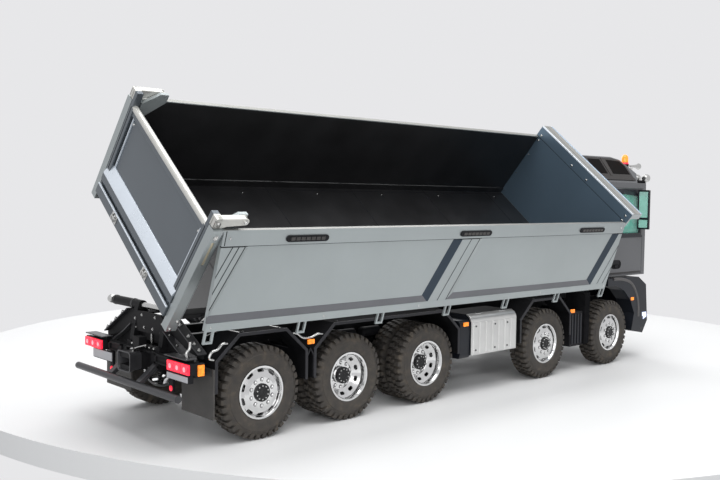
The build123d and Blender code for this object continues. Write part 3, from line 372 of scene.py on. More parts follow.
def rod(a, b, radius, steps=16, round_end=0):
    """A round bar between two points, with its end edges rounded off."""
    length = (Vector(b) - Vector(a)).length
    edge = max(round_end, 0.12 * radius)
    profile = [(0, 0), (radius - edge, 0), (radius, edge), (radius, length - edge), (radius - edge, length),
               (0, length)]
    return turned(profile, a, Vector(b) - Vector(a), steps)


def curve(points, steps=6):
    """A smooth run of points through the given ones."""
    spots = [Vector(point) for point in points]
    ends = [spots[0] * 2 - spots[1], *spots, spots[-1] * 2 - spots[-2]]
    run = []
    for a, b, c, d in zip(ends, ends[1:], ends[2:], ends[3:]):
        for i in range(steps):
            t = i / steps
            run.append(0.5 * (2 * b + (c - a) * t + (2 * a - 5 * b + 4 * c - d) * t * t
                              + (3 * b - 3 * c + d - a) * t ** 3))
    return [*run, spots[-1]]


def bent(points, radius, steps=12):
    """A round wire through a list of points."""
    spots = [Vector(point) for point in points]
    side = Vector((0.31, 0.87, 0.38))
    rows = []
    for i, spot in enumerate(spots):
        ahead = (spots[min(i + 1, len(spots) - 1)] - spots[max(i - 1, 0)]).normalized()
        across = (side - ahead * side.dot(ahead)).normalized()
        rows.append(circle(spot, across, ahead.cross(across), radius, steps))
    return skin(rows)


def hex_bolts(spots, direction, size=1.2):
    """Hexagon heads on their washers."""
    washer = [(0, -0.1), (1.35 * size, -0.1), (1.35 * size, 0.2 * size), (0, 0.2 * size)]
    head = [(0, 0), (size, 0), (size, 0.75 * size), (0.8 * size, 0.95 * size), (0, 0.95 * size)]
    return [turned(profile, spot, direction, steps) for spot in spots
            for profile, steps in ((washer, 16), (head, 6))]


def dome_screws(spots, direction, size):
    """Domed screw heads."""
    dome = [(0, -0.1), (size, -0.1)]
    dome += [(r * size, height * size) for r, height in ((1, 0.3), (0.8, 0.65), (0.4, 0.82), (0, 0.85))]
    return [turned(dome, spot, direction, 14) for spot in spots]


SMOOTH_ANGLE = math.radians(35)
BEVEL_ANGLE = math.radians(40)


def piece(name, shapes, finish, body, place=standing, stands_for=(), bevel=0, slot=None):
    """One object made of mesh shapes, in its place at rest and riding on a body."""
    bm = bmesh.new()
    for points, faces in shapes:
        verts = [bm.verts.new(at(*place(point))) for point in points]
        for face in faces:
            bm.faces.new([verts[i] for i in face])
    bmesh.ops.recalc_face_normals(bm, faces=bm.faces)
    mesh = bpy.data.meshes.new(name)
    bm.to_mesh(mesh)
    bm.free()
    mesh.materials.append(M[finish])
    mesh.polygons.foreach_set("use_smooth", [True] * len(mesh.polygons))
    mesh.set_sharp_from_angle(angle=SMOOTH_ANGLE)
    obj = bpy.data.objects.new(name, mesh)
    bpy.context.collection.objects.link(obj)
    if bevel:
        edges = obj.modifiers.new("edges", "BEVEL")
        edges.width = bevel * MM
        edges.segments = 2
        edges.limit_method = "ANGLE"
        edges.angle_limit = BEVEL_ANGLE
    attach(obj, body)
    if stands_for:
        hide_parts(*stands_for)


def pieces(body, *rows, place=standing, stands_for=()):
    """Pieces on one body; a row is a name, shapes and finish, then any bevel and any slot of its own, which
    is not used.
    """
    for name, shapes, finish, *rest in rows:
        piece(name, shapes, finish, body, place, stands_for, *rest)


# Wheels

LUGS_ROUND = 36
LUG_TOP = TYRE_R - 0.1
LUG_FOOT = 35


def wheel_spot(x, y, radius, turn):
    """A point of the wheel at x, at a radius and an angle about its axle."""
    return x + radius * math.cos(turn), y, AXLE_Z + radius * math.sin(turn)


def carcass(x, y, width):
    """A tyre's body: beads, bulging side walls with a step, and the ground of the tread."""
    half = width / 2
    # radius, distance inside the tyre's face
    side = [(RIM_R + 0.05, 2.4), (RIM_R + 1, 0.9), (RIM_R + 2.6, 0.35), (27.5, 0), (30.8, 0.2), (31.2, 0.75),
            (33.4, 1.25), (34.9, 2.4), (35.6, 4.2)]
    profile = [(r, inside - half) for r, inside in side]
    profile += [(r, half - inside) for r, inside in reversed(side)]
    return turned(profile, (x, y, AXLE_Z), (0, 1, 0), 96, ring=True)


def tread(x, y, width):
    """Shoulder blocks on both edges, half a step apart, with a row of smaller blocks between."""
    half = width / 2
    inner = half * 0.27
    # outlines of the blocks: distance from the tyre's middle, radius
    shoulder = [(half - 0.75, 33.2), (half - 1.5, 36.6), (half - 2.6, LUG_TOP), (inner, LUG_TOP),
                (inner, LUG_FOOT), (half - 3.5, 34.6)]
    other_shoulder = [(-along, radius) for along, radius in shoulder]
    small, small_top = inner - 0.7, LUG_TOP - 0.05
    middle = [(-small, LUG_FOOT), (-small, small_top), (small, small_top), (small, LUG_FOOT)]
    # outline, place in the step, half length as a share of it
    kinds = ((shoulder, 0, 0.31), (other_shoulder, 0.5, 0.31), (middle, 0.25, 0.24))
    pitch = 2 * math.pi / LUGS_ROUND
    return [drawn_out(outline, (pitch * (i + place - share), pitch * (i + place + share)),
                      lambda along, radius, turn: wheel_spot(x, y + along, radius, turn))
            for i in range(LUGS_ROUND) for outline, place, share in kinds]


def build_tyres():
    """Every wheel's tyres, for the CAD ones."""
    twin_out = HALF_WIDTH - TWIN_INSET - TWIN_TYRE_W / 2
    for name, x, twin in AXLES:
        width = TWIN_TYRE_W if twin else SINGLE_W
        outs = (twin_out, twin_out - TWIN_TYRE_W - TWIN_GAP) if twin else (HALF_WIDTH - SINGLE_W / 2,)
        for side, sign in SIDES:
            shapes = []
            for out in outs:
                shapes += [carcass(x, sign * out, width), *tread(x, sign * out, width)]
            node = f"tyres_{name}_{side}" if twin else f"tyre_{name}_{side}"
            pieces(f"wheel_{name}_{side}", (f"lugged_{node}", shapes, "tyre_rubber", 0.18), stands_for=[node])


def build_hubs():
    """Dark hub caps with bright bolts, and the wheel nuts round them."""
    cap = [(HUB_R + 0.15, -3), (HUB_R + 0.15, -0.1), (HUB_R - 0.3, 0.15), (4.2, 0.15), (3.9, -0.08),
           (1.8, -0.08), (1.5, 0.15), (0, 0.18)]
    washer = [(0, -0.2), (1.75, -0.2), (1.75, 0.1), (0, 0.1)]
    nut = [(0, -0.2), (1.35, -0.2), (1.35, 0.25), (1.05, 0.35), (1.05, 1.1), (0.8, 1.35), (0.45, 1.35),
           (0.35, 1), (0, 1)]
    turns = [math.radians(36 * i + 18) for i in range(10)]
    for name, x, twin in AXLES:
        face = HALF_WIDTH - TWIN_INSET - TWIN_DISH if twin else HALF_WIDTH - 1.4
        hub_face = face + 4.2 if twin else HALF_WIDTH - 0.2
        for side, sign in SIDES:
            out = (0, sign, 0)
            spots = [wheel_spot(x, sign * face, NUT_RING_R, turn) for turn in turns]
            bolt_spots = [wheel_spot(x, sign * hub_face, 5.5, turn) for turn in turns]
            end = f"_{name}_{side}"
            pieces(f"wheel{end}",
                   (f"hub_cap{end}", [turned(cap, (x, sign * hub_face, AXLE_Z), out, 40)], "dark_hub"),
                   (f"wheel_nuts{end}", [turned(nut, spot, out, 16) for spot in spots], "polished_alloy"),
                   (f"nut_washers{end}", [turned(washer, spot, out, 20) for spot in spots], "cast_grey"),
                   (f"hub_bolts{end}", dome_screws(bolt_spots, out, 0.72), "bright_steel"))


# Roof


def build_roof():
    """Beacons, horns and the bar with its lamps, for the CAD ones."""
    shells, lenses, blacks, ambers, reds, chrome = ([] for _ in range(6))
    foot = [(0, 232), (2.4, 232), (2, 236), (2, 238.4), (4.6, 238.8), (4.9, 239.4), (4.9, 240.6), (0, 240.6)]
    red_ring = [(0, 240.5), (4.5, 240.5), (4.5, 242.3), (4.2, 242.6), (0, 242.6)]
    ridges = [spot for i in range(6) for spot in ((4.2, 242.9 + i * 0.95), (4, 243.35 + i * 0.95))]
    dome = [(0, 242.5), (4.15, 242.5), *ridges, (3.9, 248.9), (3.3, 250.6), (2.2, 251.8), (1, 252.4),
            (0, 252.5)]
    bell = [(0, 579), (1, 579), (1.2, 586), (1.5, 592), (2, 597), (2.8, 601.4), (3.9, 604.4),
            (3.9, 604.9), (3.4, 604.6), (2.4, 602.4), (1.4, 600), (0, 599.6)]
    driver = [(0, 577.2), (1.9, 577.3), (2.2, 578.6), (1.9, 580.2), (0, 580.3)]
    horn_z = 238.5
    for side in (-1, 1):
        beacon = (575.5, side * 61, 0)
        blacks.append(turned(foot, beacon, UP, 32))
        reds.append(turned(red_ring, beacon, UP, 32))
        ambers.append(turned(dome, beacon, UP, 40))
        y = side * 63
        chrome += [turned(bell, (0, y, horn_z), AHEAD, 32), rod((588, y, 225), (588, y, horn_z), 1.1),
                   turned(driver, (0, y, horn_z), AHEAD, 20)]
    blacks.append(rod((601, -76, 219), (601, 76, 219), 2, 20, 0.6))
    for y in (-50, 50):
        stay = [(594.6, 217), (601.5, 217.2), (601.5, 220.4), (594.6, 220.5)]
        blacks.append(side_plate(stay, (y - 2, y + 2)))
    shell = [(0, 0), (2.6, 0), (4.3, 1.8), (4.9, 4.6), (5, 6.8), (4.6, 6.9), (4.35, 6.2), (0, 6.2)]
    lens = [(0, 5.9), (4.3, 5.9), (4.2, 6.4), (2.5, 6.75), (0, 6.9)]
    for y in (-75, -62, -24, 24, 62, 75):
        spot = (598, y, 223.5)
        shells += [turned(shell, spot, AHEAD, 32), rod((601, y, 217.6), (601, y, 219.6), 1.2, 12)]
        lenses.append(turned(lens, spot, AHEAD, 32))
    pieces("cab", ("roof_bar", blacks, "black_plastic"), ("roof_lamp_shells", shells, "bright_steel"),
           ("roof_lamp_lenses", lenses, "white_lens"), ("beacon_domes", ambers, "amber_lens"),
           ("beacon_rings", reds, "red_lens"), ("horns", chrome, "bright_steel"),
           stands_for=["roof_gear"])


# Side walls of the bed

WALL_FACE = -BED_HALF
WALL_PANEL = -BED_HALF + 1.8
WALL_INNER = WALL_FACE + WALL_T
WALL_GRIPS = [(-15, 26), (180, 223), (367, 412)]
GRIP_CELLS = 7
# each rib's slanted lines as x at RIB_HEAD: first edge, seams, and where its slope meets the panel
RIBS = [(-110, (-61.2, -55.8), -50.4, -46), (185.5, (197.4,), 209, 216.6),
        (445.1, (457.3, 468.2), 500, None)]
RIB_FACE = WALL_FACE + 0.2
RIB_LEAN = 0.431
RIB_FOOT = 121.6
RIB_HEAD = 180
RIB_SHADE_W = 10.5
LOOP_W = 8
LOOP_BAR = 1.6
LOOP_COUNT = 7
LOOP_LOW = WALL_BOTTOM - 10


def rib_x(line, z):
    """Where a slanted line is at a height."""
    return line - (RIB_HEAD - z) * RIB_LEAN


def slanted(left, right):
    """The (x, z) outline between two slanted lines, cut off at the wall's ends."""
    outline = [(rib_x(line, z), z) for line, z in
               ((left, RIB_FOOT), (left, RIB_HEAD), (right, RIB_HEAD), (right, RIB_FOOT))]
    for edge, keep in zip(WALL_X, (1, -1)):
        cut = []
        for (xa, za), (xb, zb) in zip(outline, outline[1:] + outline[:1]):
            inside = [(x - edge) * keep >= 0 for x in (xa, xb)]
            if inside[0]:
                cut.append((xa, za))
            if inside[0] != inside[1]:
                cut.append((edge, za + (edge - xa) / (xb - xa) * (zb - za)))
        outline = cut
    return outline


def rib_slope(edge, base):
    """The slope from a rib's edge down to the panel, cut off at the wall's rear end."""
    lines = ((base, WALL_PANEL), (edge, WALL_PANEL), (edge, RIB_FACE))
    feet = [(line, y, max(RIB_FOOT, RIB_HEAD - (line - WALL_X[0]) / RIB_LEAN)) for line, y in lines]
    heads = [(line, y, RIB_HEAD) for line, y in lines]
    return skin([heads, [(rib_x(line, z), y, z) for line, y, z in feet]])


def wall_body():
    """One side wall: panel, top band, foot, ribs, loops and hinge pins."""
    low, high = WALL_X
    shapes = [block(WALL_X, (WALL_PANEL, WALL_INNER), (WALL_BOTTOM, WALL_TOP)),
              block(WALL_X, (WALL_FACE, WALL_PANEL), (WALL_TOP - 12, WALL_TOP)),
              block(WALL_X, (WALL_FACE, WALL_PANEL), (WALL_BOTTOM, RIB_FOOT))]
    for left, _, edge, base in RIBS:
        shapes.append(side_plate(slanted(left, edge), (RIB_FACE, WALL_PANEL)))
        if base:
            shapes.append(rib_slope(edge, base))
    loop_y = (WALL_FACE, WALL_FACE + LOOP_BAR)
    for i in range(LOOP_COUNT):
        x = low + i * (high - low - LOOP_W) / (LOOP_COUNT - 1)
        gap = (x + LOOP_BAR, x + LOOP_W - LOOP_BAR)
        bars = ((x, gap[0]), (gap[1], x + LOOP_W))
        shapes += [block(bar, loop_y, (LOOP_LOW, WALL_BOTTOM)) for bar in bars]
        shapes.append(block(gap, loop_y, (LOOP_LOW, LOOP_LOW + LOOP_BAR)))
    for span in ((low - 5, low + 1), (high - 1, high + 3.4)):
        shapes.append(rod(*[(x, -WALL_PIN[0], WALL_PIN[1]) for x in span], 1.2, 20))
    return shapes


def wall_seams():
    """Dark lines: under the top band, near its rear end, and on the ribs."""
    low, high = WALL_X
    band_z, seam_y = (180.1, 180.9), (WALL_FACE + 0.1, WALL_FACE + 0.3)
    seams = [block(WALL_X, (WALL_PANEL - 0.4, WALL_PANEL + 0.1), band_z),
             block((low + 2, low + 2.7), (WALL_FACE - 0.05, RIB_FACE), (181.5, 192.5))]
    for left, lines, edge, base in RIBS:
        for line in lines + ((edge,) if base else ()):
            seams.append(side_plate(slanted(line, line + 0.7), seam_y))
        seams.append(block((max(left, low), min(edge, high)), seam_y, band_z))
    return seams


def build_side_walls():
    """Both side walls with their grips, seams, rib shades, sloped foot, screws, a top edge in painted light
    and a near-black sheet on the inner face.
    """
    low, high = WALL_X
    grips, cells = [], []
    cell_y = (WALL_FACE - 1.45, WALL_FACE - 1.1)
    for x0, x1 in WALL_GRIPS:
        grips.append(side_plate(stadium(x0, x1, 183.2, 188.4), (WALL_FACE - 1.2, WALL_FACE + 0.1)))
        step = (x1 - x0 - 7) / GRIP_CELLS
        for i in range(GRIP_CELLS):
            start = x0 + 3.5 + i * step
            cells.append(block((start + 0.5, start + step - 0.5), cell_y, (184.5, 187.1)))
    foot_screws = [(x, WALL_FACE + 0.35, 118) for x in (low + 4, 40, 150, 330, high - 4)]
    top_screws = [(x, WALL_FACE, 187) for x in (low + 6, high - 6)]
    screws = dome_screws(foot_screws, (0, -1, 0), 0.8) + dome_screws(top_screws, (0, -1, 0), 0.9)
    shades = [rib_slope(left, left - RIB_SHADE_W) for left, *_ in RIBS if left > low]
    foot = [(WALL_PANEL + 0.05, 127.2), (WALL_PANEL - 0.1, 127.2), (WALL_FACE + 0.4, RIB_FOOT),
            (WALL_PANEL + 0.05, RIB_FOOT)]
    # the top edge carries painted light, a warmer tone than the wall's paint
    top_edge = block(WALL_X, (WALL_FACE + 0.3, WALL_INNER - 0.3), (WALL_TOP - 0.1, WALL_TOP + 0.1))
    # a near-black sheet over the wall's inner face
    lining = block(WALL_X, (WALL_INNER - 0.05, WALL_INNER + 0.15), (113.9, WALL_TOP - 0.8))
    for side, place in (("right", in_right_wall), ("left", in_left_wall)):
        body = f"side_wall_{side}"
        piece(f"wall_body_{side}", wall_body(), "bed_paint", body, place, stands_for=[body])
        pieces(body,
               (f"wall_grips_{side}", grips, "black_plastic", 0.3),
               (f"wall_grip_cells_{side}", cells, "smoked_cell", 0.15),
               (f"wall_seams_{side}", wall_seams(), "seam_black"),
               (f"wall_screws_{side}", screws, "bright_steel"),
               (f"wall_rib_shades_{side}", shades, "rib_shade"),
               (f"wall_foot_{side}", [end_plate(foot, WALL_X)], "shaded_paint"),
               (f"wall_top_edge_{side}", [top_edge], "rail_band", 0.12),
               (f"wall_inner_black_{side}", [lining], "bed_lining"), place=place)


# Front wall and floor of the bed

FRONT_WALL_X = 452
FRONT_WALL_TOP = 206.5
RAIL_DEPTH = 19
PANEL_TOP = 192.9
UPPER_LOW = 193.5
FLOOR_Z = 107


def build_front_wall():
    """The front wall's two faces in painted shade with a painted bluish reflection, the top rail's strips
    with painted light, its dark end, seams and bolts.
    """
    x, top, half = FRONT_WALL_X, FRONT_WALL_TOP, BED_HALF - 0.5
    rear = x + RAIL_DEPTH
    skin_x = (x - 0.1, x + 0.1)
    # the rail's strips end short of both side walls
    along = (-half + 0.15, half - 0.4)
    spots = ((73.4, 196.5), (73.4, 189.5), (17, 196.5), (-9, 196.5), (-73.4, 199), (-73.4, 192.5))
    screws = hex_bolts([(x, y, z) for y, z in spots], BACK, 1.05)
    screws += dome_screws([(x, y, z) for y in (-73, 73) for z in (112, 140, 168)], BACK, 0.7)
    dark = [block((x - 0.12, x + 0.1), (-half, half), (PANEL_TOP, UPPER_LOW)),
            block((x + 6.4, x + 7), along, (top - 0.1, top + 0.05)),
            block((x + 0.8, rear - 0.8), (half - 0.35, half + 0.25), (top - 6.3, top - 0.7))]
    band = block((x + 1.2, rear - 2.6), along, (top - 0.2, top + 0.03))
    outer = block((rear - 2.6, rear + 0.2), along, (top - 1, top + 0.1))
    near = block((x - 0.25, x + 1.2), along, (top - 1.6, top + 0.1))
    inner = block(skin_x, (-half + 0.4, half - 0.4), (FLOOR_Z + 0.2, PANEL_TOP))
    upper = block(skin_x, (-half + 0.15, half - 0.1), (UPPER_LOW, top - 1.6))
    # the band is painted light, the outer strip and near edge painted highlights, and both faces painted
    # shade with a painted bluish reflection
    pieces("bed",
           ("front_rail_band", [band], "rail_band"), ("front_rail_outer", [outer], "rail_edge", 0.2),
           ("front_wall_bolts", screws, "bright_steel"), ("front_wall_seams", dark, "seam_black"),
           ("front_rail_edges", [near], "bright_trim", 0.2), ("front_wall_inner", [inner], "painted_shade_bluish_paint"),
           ("front_wall_upper", [upper], "painted_shade_bluish_paint"), place=in_bed)


def build_floor_trim():
    """Weld seams and a few screws on the floor."""
    seam_z = (FLOOR_Z - 0.05, FLOOR_Z + 0.1)
    seams = [block((x, x + 0.7), (-76, 76), seam_z) for x in (-20, 90, 200, 310, 420)]
    seams += [block((-70, 451), (y - 0.4, y + 0.4), seam_z) for y in (-71, 71)]
    spots = ((0, 60), (60, 66), (150, 66), (240, 66), (330, 66), (430, 66))
    screws = dome_screws([(x, side * y, FLOOR_Z) for x, y in spots for side in (-1, 1)], UP, 0.8)
    pieces("bed", ("floor_seams", seams, "black_plastic"), ("floor_screws", screws, "bright_steel"),
           place=in_bed)


# Tailgate and posts

GATE_HALF = 72.1
GATE_LOW = 101.5
GATE_TOP = 191.5
GATE_X = (-80, -74.5)
GATE_PIN = (-55, 200)
ARM_TOP = 203


def build_tailgate():
    """The tailgate for the CAD one: panel and rims darkened as painted shade, a round top rail and two arms
    paler as a painted highlight, a ledge with a painted highlight, and latches.
    """
    h, low, top = GATE_HALF, GATE_LOW, GATE_TOP
    inset = (-h + 0.3, h - 0.3)
    rims = [block((-79.2, GATE_X[1]), (-h, h), (top - 8, top - 3))]
    pale = [rod((-77.2, -h, top - 2.6), (-77.2, h, top - 2.6), 2.7, 28, 0.4)]
    panel = [block((-77, -74.6), (-h + 0.2, h - 0.2), (low + 0.3, top - 1)),
             block((-81.2, -74.6), (-h, h), (115.2, 122)), block((-82, GATE_X[1]), (-h, h), (low, 110.6)),
             block((-79.8, -75), inset, (110.4, 115.4))]
    dark = [block((-79.9, -75), inset, (111.4, 112.2))]
    ledge = [(-76.8, 133), (-77.6, 133), (-81.6, 123.4), (-81.6, 121.8), (-76.8, 121.8)]
    bright = [side_plate(ledge, (-h + 1, h - 1)), block((-82.3, -81), (-h + 0.5, h - 0.5), (110.3, 111.5))]
    arm = [(-80, 194.5), (-73, 194.5), (-69, 196), *arc(*GATE_PIN, 3, -80, 90, 10), (-78.5, ARM_TOP),
           (-80, 201.5)]
    web = [(-80, 201.5), (-78.5, ARM_TOP), (-55, ARM_TOP), (-55, 202), (-78, 202), (-79, 201)]
    steel = []
    for side in (-1, 1):
        out = (0, side, 0)
        bright.append(block((-78.3, -76.9), on(side, h - 8.6, h - 7.9), (132, 186)))
        dark += [block((-77.2, -76.9), on(side, h - 7.9, h - 6), (132, 186)),
                 block((-80.1, -79.8), on(side, h - 2.9, h - 2.3), (low + 10, top - 2))]
        # the upright rim, the step over the post, and the arm as a channel open below
        rims += [block(GATE_X, on(side, h - 6, h), (low, top - 2)),
                 block(GATE_X, on(side, 68.1, h), (top - 2, ARM_TOP))]
        pale += [block(GATE_X, on(side, 71.9, 78), (194.5, ARM_TOP)), side_plate(arm, on(side, 77, 78)),
                 side_plate(arm, on(side, 73.2, 74.2)), side_plate(web, on(side, 73.8, 77.4))]
        steel += hex_bolts([(GATE_PIN[0], side * 78, GATE_PIN[1])], out, 1.5)
        steel += hex_bolts([(-77.2, side * 78, 199)], out, 1)
        steel += hex_bolts([(-77, side * 58, 183), (-77, side * 62, 178)], BACK, 0.9)
    hook = [(-81.5, 111), (-84, 110.4), (-84.9, 107.6), (-84.3, 104.6), (-81.5, 103.6)]
    for y in (-32, 32):
        steel += [side_plate(hook, (y + shift, y + shift + 1.2)) for shift in (-2.3, 1.1)]
        steel += [rod((-83.2, y - 3.2, 107.3), (-83.2, y + 3.2, 107.3), 1, 14),
                  block((-82.6, -81.6), (y - 4.5, y + 4.5), (103, 111))]
    # a near-black sheet over the tailgate's inner face
    lining = block((-74.65, -74.4), (-h + 0.5, h - 0.5), (FLOOR_Z + 1, top - 4))
    # panel and rims carry painted shade; the top rail, arms, ledge and upright strips carry painted
    # highlights
    pieces("tailgate",
           ("gate_panel", panel, "painted_shade_paint", 0.25), ("gate_rims", rims, "painted_shade_paint", 0.35),
           ("gate_arms", pale, "painted_highlight_paint", 0.25), ("gate_ledge", bright, "bright_trim", 0.2),
           ("gate_latches", steel, "bright_steel", 0.12), place=in_bed, stands_for=["tailgate"])
    pieces("tailgate", ("gate_seams", dark, "seam_black"), ("gate_inner_black", [lining], "bed_lining"),
           place=in_bed)


def build_posts():
    """Bolts, slot plates and top bosses on the rear posts."""
    steel, plates, seams = [], [], []
    boss = [(0, -0.1), (2.1, -0.1), (2.1, 0.5), (1.7, 0.8), (0, 0.8)]
    for side in (-1, 1):
        out = (0, side, 0)
        face = side * BED_HALF
        steel += hex_bolts([(-73.3, face, 103), (-77, face, 95.5)], out, 1.25)
        steel.append(turned(boss, (-75.7, face, 187.6), out, 28))
        steel += hex_bolts([(-75.7, side * (BED_HALF + 0.7), 187.6)], out, 0.9)
        plates.append(block((-76.9, -74.6), on(side, BED_HALF - 1.3, BED_HALF - 0.5), (161.2, 182.8)))
        seams.append(block((-71.9, -71.4), on(side, BED_HALF, BED_HALF + 0.06), (97, 193)))
    pieces("bed", ("post_bolts", steel, "bright_steel"), ("post_slot_plates", plates, "brass_slot"),
           ("post_seams", seams, "shaded_paint"), place=in_bed)


# Rear end


def build_rear_frame():
    """Flanges and bolts of the rear plates, bolts above the coupling, its lever, and the lamp brackets."""
    black = [block((-64.6, -57.5), (-5.4, 5.6), (70.2, 78.2)), block((-62, -57.5), (-24, 24), (66.6, 68))]
    knob = [(0, 0), (1.9, 0.1), (2.1, 0.9), (1.9, 1.7), (0, 1.8)]
    steel = [rod((-50, 0, 70), (-50, 0, 86.5), 0.9, 14), turned(knob, (-50, 0, 85.9), UP, 20),
             *hex_bolts([(-60.5, 0, 71.5)], UP, 1.3)]
    satin = []
    edge = [(27.4, 85.6), (39.2, 78.3), (61.2, 66.8), (74.6, 60.9)]
    edge += [(y, z - 1.1) for y, z in reversed(edge)]
    flange = [(20, 86), (30, 97), (37, 97), (78, 73.2), (78, 69), (60, 72), (42, 79)]
    lip = [(36.4, 97.4), (78.4, 73.2), (77.9, 72.2), (36, 96.3)]
    strut = [(-57.5, 59.5), (-57.5, 61.5), (-75.6, 46.4), (-74.4, 45.2)]
    window = (((27.5, 52), (60.4, 62)), ((27.5, 52), (66.4, 68)), ((27.5, 30.5), (60.4, 68)),
              ((49, 52), (60.4, 68)))
    for side in (-1, 1):
        slope = (0, side * 0.5, 0.87)
        for shapes, outline, x in ((satin, edge, (-55.5, -43)), (black, flange, (-50.5, -48.4)),
                                   (satin, lip, (-54, -46))):
            shapes.append(end_plate([(side * y, z) for y, z in outline], x))
        spots = ((33.5, 82.6), (45, 75.9), (56.5, 69.9))
        steel += hex_bolts([(-52.5, side * y, z - 0.2) for y, z in spots], slope, 1)
        spots = ((47, 91.2), (59.7, 83.9), (68.1, 79), (75, 75))
        steel += [rod((-51.5, side * y, z), (-51.5, side * (y + 1.6), z + 2.8), 0.8, 12) for y, z in spots]
        steel += hex_bolts([(-51.5, side * (y + 0.6), z + 1) for y, z in spots], slope, 1.3)
        spots = ((11, 94), (22.5, 90), (7, 84), (21, 82.5))
        steel += hex_bolts([(-53, side * y, z) for y, z in spots], BACK, 0.9)
        steel += dome_screws([(-58, side * y, 69.6) for y in (3.6, 10.6, 18)], BACK, 1.25)
        # rim of the lamp bracket's window, its cover and the block under that, and the underrun bar's strut
        black += [block((-63.4, -61.8), on(side, *y), z) for y, z in window]
        satin.append(block((-68.5, -58.5), on(side, 52, 84.5), (70.9, 71.8)))
        black.append(block((-62.5, -58.5), on(side, 56, 80), (67.8, 71.1)))
        satin.append(side_plate(strut, on(side, 21, 27)))
    pieces("chassis", ("rear_brackets", black, "black_frame", 0.25),
           ("rear_flanges", satin, "satin_tube", 0.2), ("rear_bolts", steel, "bright_steel"))


def build_coupling():
    """The funnel round the coupling's jaw, its pin and handle."""
    # outlines of the funnel: x, half width, lower and upper edge
    stages = [(-64, 9, 52, 66.6), (-70, 9.4, 51.6, 66.8), (-75.5, 11.2, 50.6, 67.6),
              (-75.5, 10.1, 51.7, 66.5), (-70, 8.5, 52.6, 65.8), (-64, 8.3, 53, 65.5)]
    funnel = skin([[(x, y, z) for y, z in rounded((-half, half), (low, high), 3)]
                   for x, half, low, high in stages], ring=True)
    knob = [(0, 0), (2.2, 0.1), (2.4, 1.2), (1.4, 2), (0, 2.1)]
    steel = [rod((-67, 0, 51), (-67, 0, 68.4), 1.25, 20), turned(knob, (-67, 0, 67.4), UP, 24),
             rod((-66, 0, 68.6), (-63, -15, 73), 0.7, 12)]
    pieces("chassis", ("coupling_funnel", [funnel], "satin_tube"), ("coupling_pin", steel, "bright_steel"))


HEAD_Z = 54.5
# each headlamp's place, how much smaller its bowl is than the larger one, and its lens
HEADLAMPS = ((80.6, 0, [(0, 0), (4.1, 0), (3.6, 0.8), (1.8, 1.3), (0, 1.4)]),
             (71.4, 0.8, [(0, 0), (3.3, 0), (2.9, 0.7), (1.4, 1.1), (0, 1.2)]))


def build_lamps():
    """Tail lamps and headlamps for the CAD ones, markers, reflectors and the blank plates."""
    red, cells, white, cool, amber, chrome = ([] for _ in range(6))
    blank = [block((-67, -66.2), (38, 72.6), (52, 59.2)), block((-68.2, -67.4), (-86, -56), (54.2, 58.6))]
    housings = [block((-66.4, -65.2), (37.2, 73.4), (51.2, 60)),
                block((-67.6, -63), (-86.6, -55.4), (53.6, 59.6))]
    cell = [(0, 0), (1.9, 0), (1.6, 0.15), (0.8, 0.3), (0, 0.35)]
    reflector = [(0, 0), (2.3, 0), (2.1, 0.7), (0, 0.9)]
    cheek = [(580.5, 56.5), (590.2, 56.5), (591.4, 50.5), (583.5, 47.5), (580.5, 50)]
    for side in (-1, 1):
        housings += [block((-66.4, -62), on(side, 55, 87.5), (59.5, 68.5)),
                     block((-62.2, -53.2), on(side, 82, 86.6), (57.6, 68)),
                     block((-60.8, -58.6), on(side, 47.2, 52.8), (40.6, 61)),
                     block((583, 594.6), on(side, 66.6, 85.6), (49.2, 59.8))]
        red.append(block((-68, -66.2), on(side, 55.6, 86.9), (60.1, 67.9)))
        for middle in (60.85, 71.25, 81.65):
            red.append(block((-68.4, -67.8), on(side, middle - 4.5, middle + 4.5), (60.8, 67.2)))
            cells.append(turned(cell, (-68.4, side * middle, 64), BACK, 24))
        # the reflector shines with the lamp lenses' glow, a painted glow since a reflector is no lamp
        red.append(turned(reflector, (-60.6, side * 50, 43.5), BACK, 24))
        amber.append(block((-59.6, -54.2), on(side, 86.4, 88), (58.6, 67)))
        for y, less, lens in HEADLAMPS:
            rim = ((4.4, 0), (4.7, 1.6), (4.3, 1.8), (3.6, 0.9))
            bowl = [(0, 0), *[(radius - less, along) for radius, along in rim], (0, 0.5)]
            chrome.append(turned(bowl, (594.4, side * y, HEAD_Z), AHEAD, 36))
            white.append(turned(lens, (595, side * y, HEAD_Z), AHEAD, 36))
        cool.append(side_plate(cheek, on(side, 86.8, 88.1)))
        for x, z in ((49.4, 74), (246.5, 70.8), (430, 69.6), (556.5, 74.9)):
            amber.append(block((x - 3.4, x + 3.4), on(side, 86.9, 88.3), (z - 1.9, z + 1.9)))
    pieces("chassis", ("lamp_housings", housings, "black_plastic", 0.3),
           ("tail_lenses", red, "red_lens", 0.3), ("head_lenses", white, "white_lens", 0.2),
           stands_for=["lamps"])
    pieces("chassis", ("tail_cells", cells, "hot_red"), ("head_side_lenses", cool, "cool_glow", 0.3),
           ("head_bowls", chrome, "polished_alloy"), ("side_markers", amber, "amber_lens", 0.3),
           ("blank_plates", blank, "blank_plate", 0.15))


# Along the frame

LOCKER_Y = (-87, -45)
LOCKER_X = (256, 328)
LOCKER_RIDGES = 7
GUARD_SPANS = [(-45, 46), (52.5, 237), (333, 426.5)]


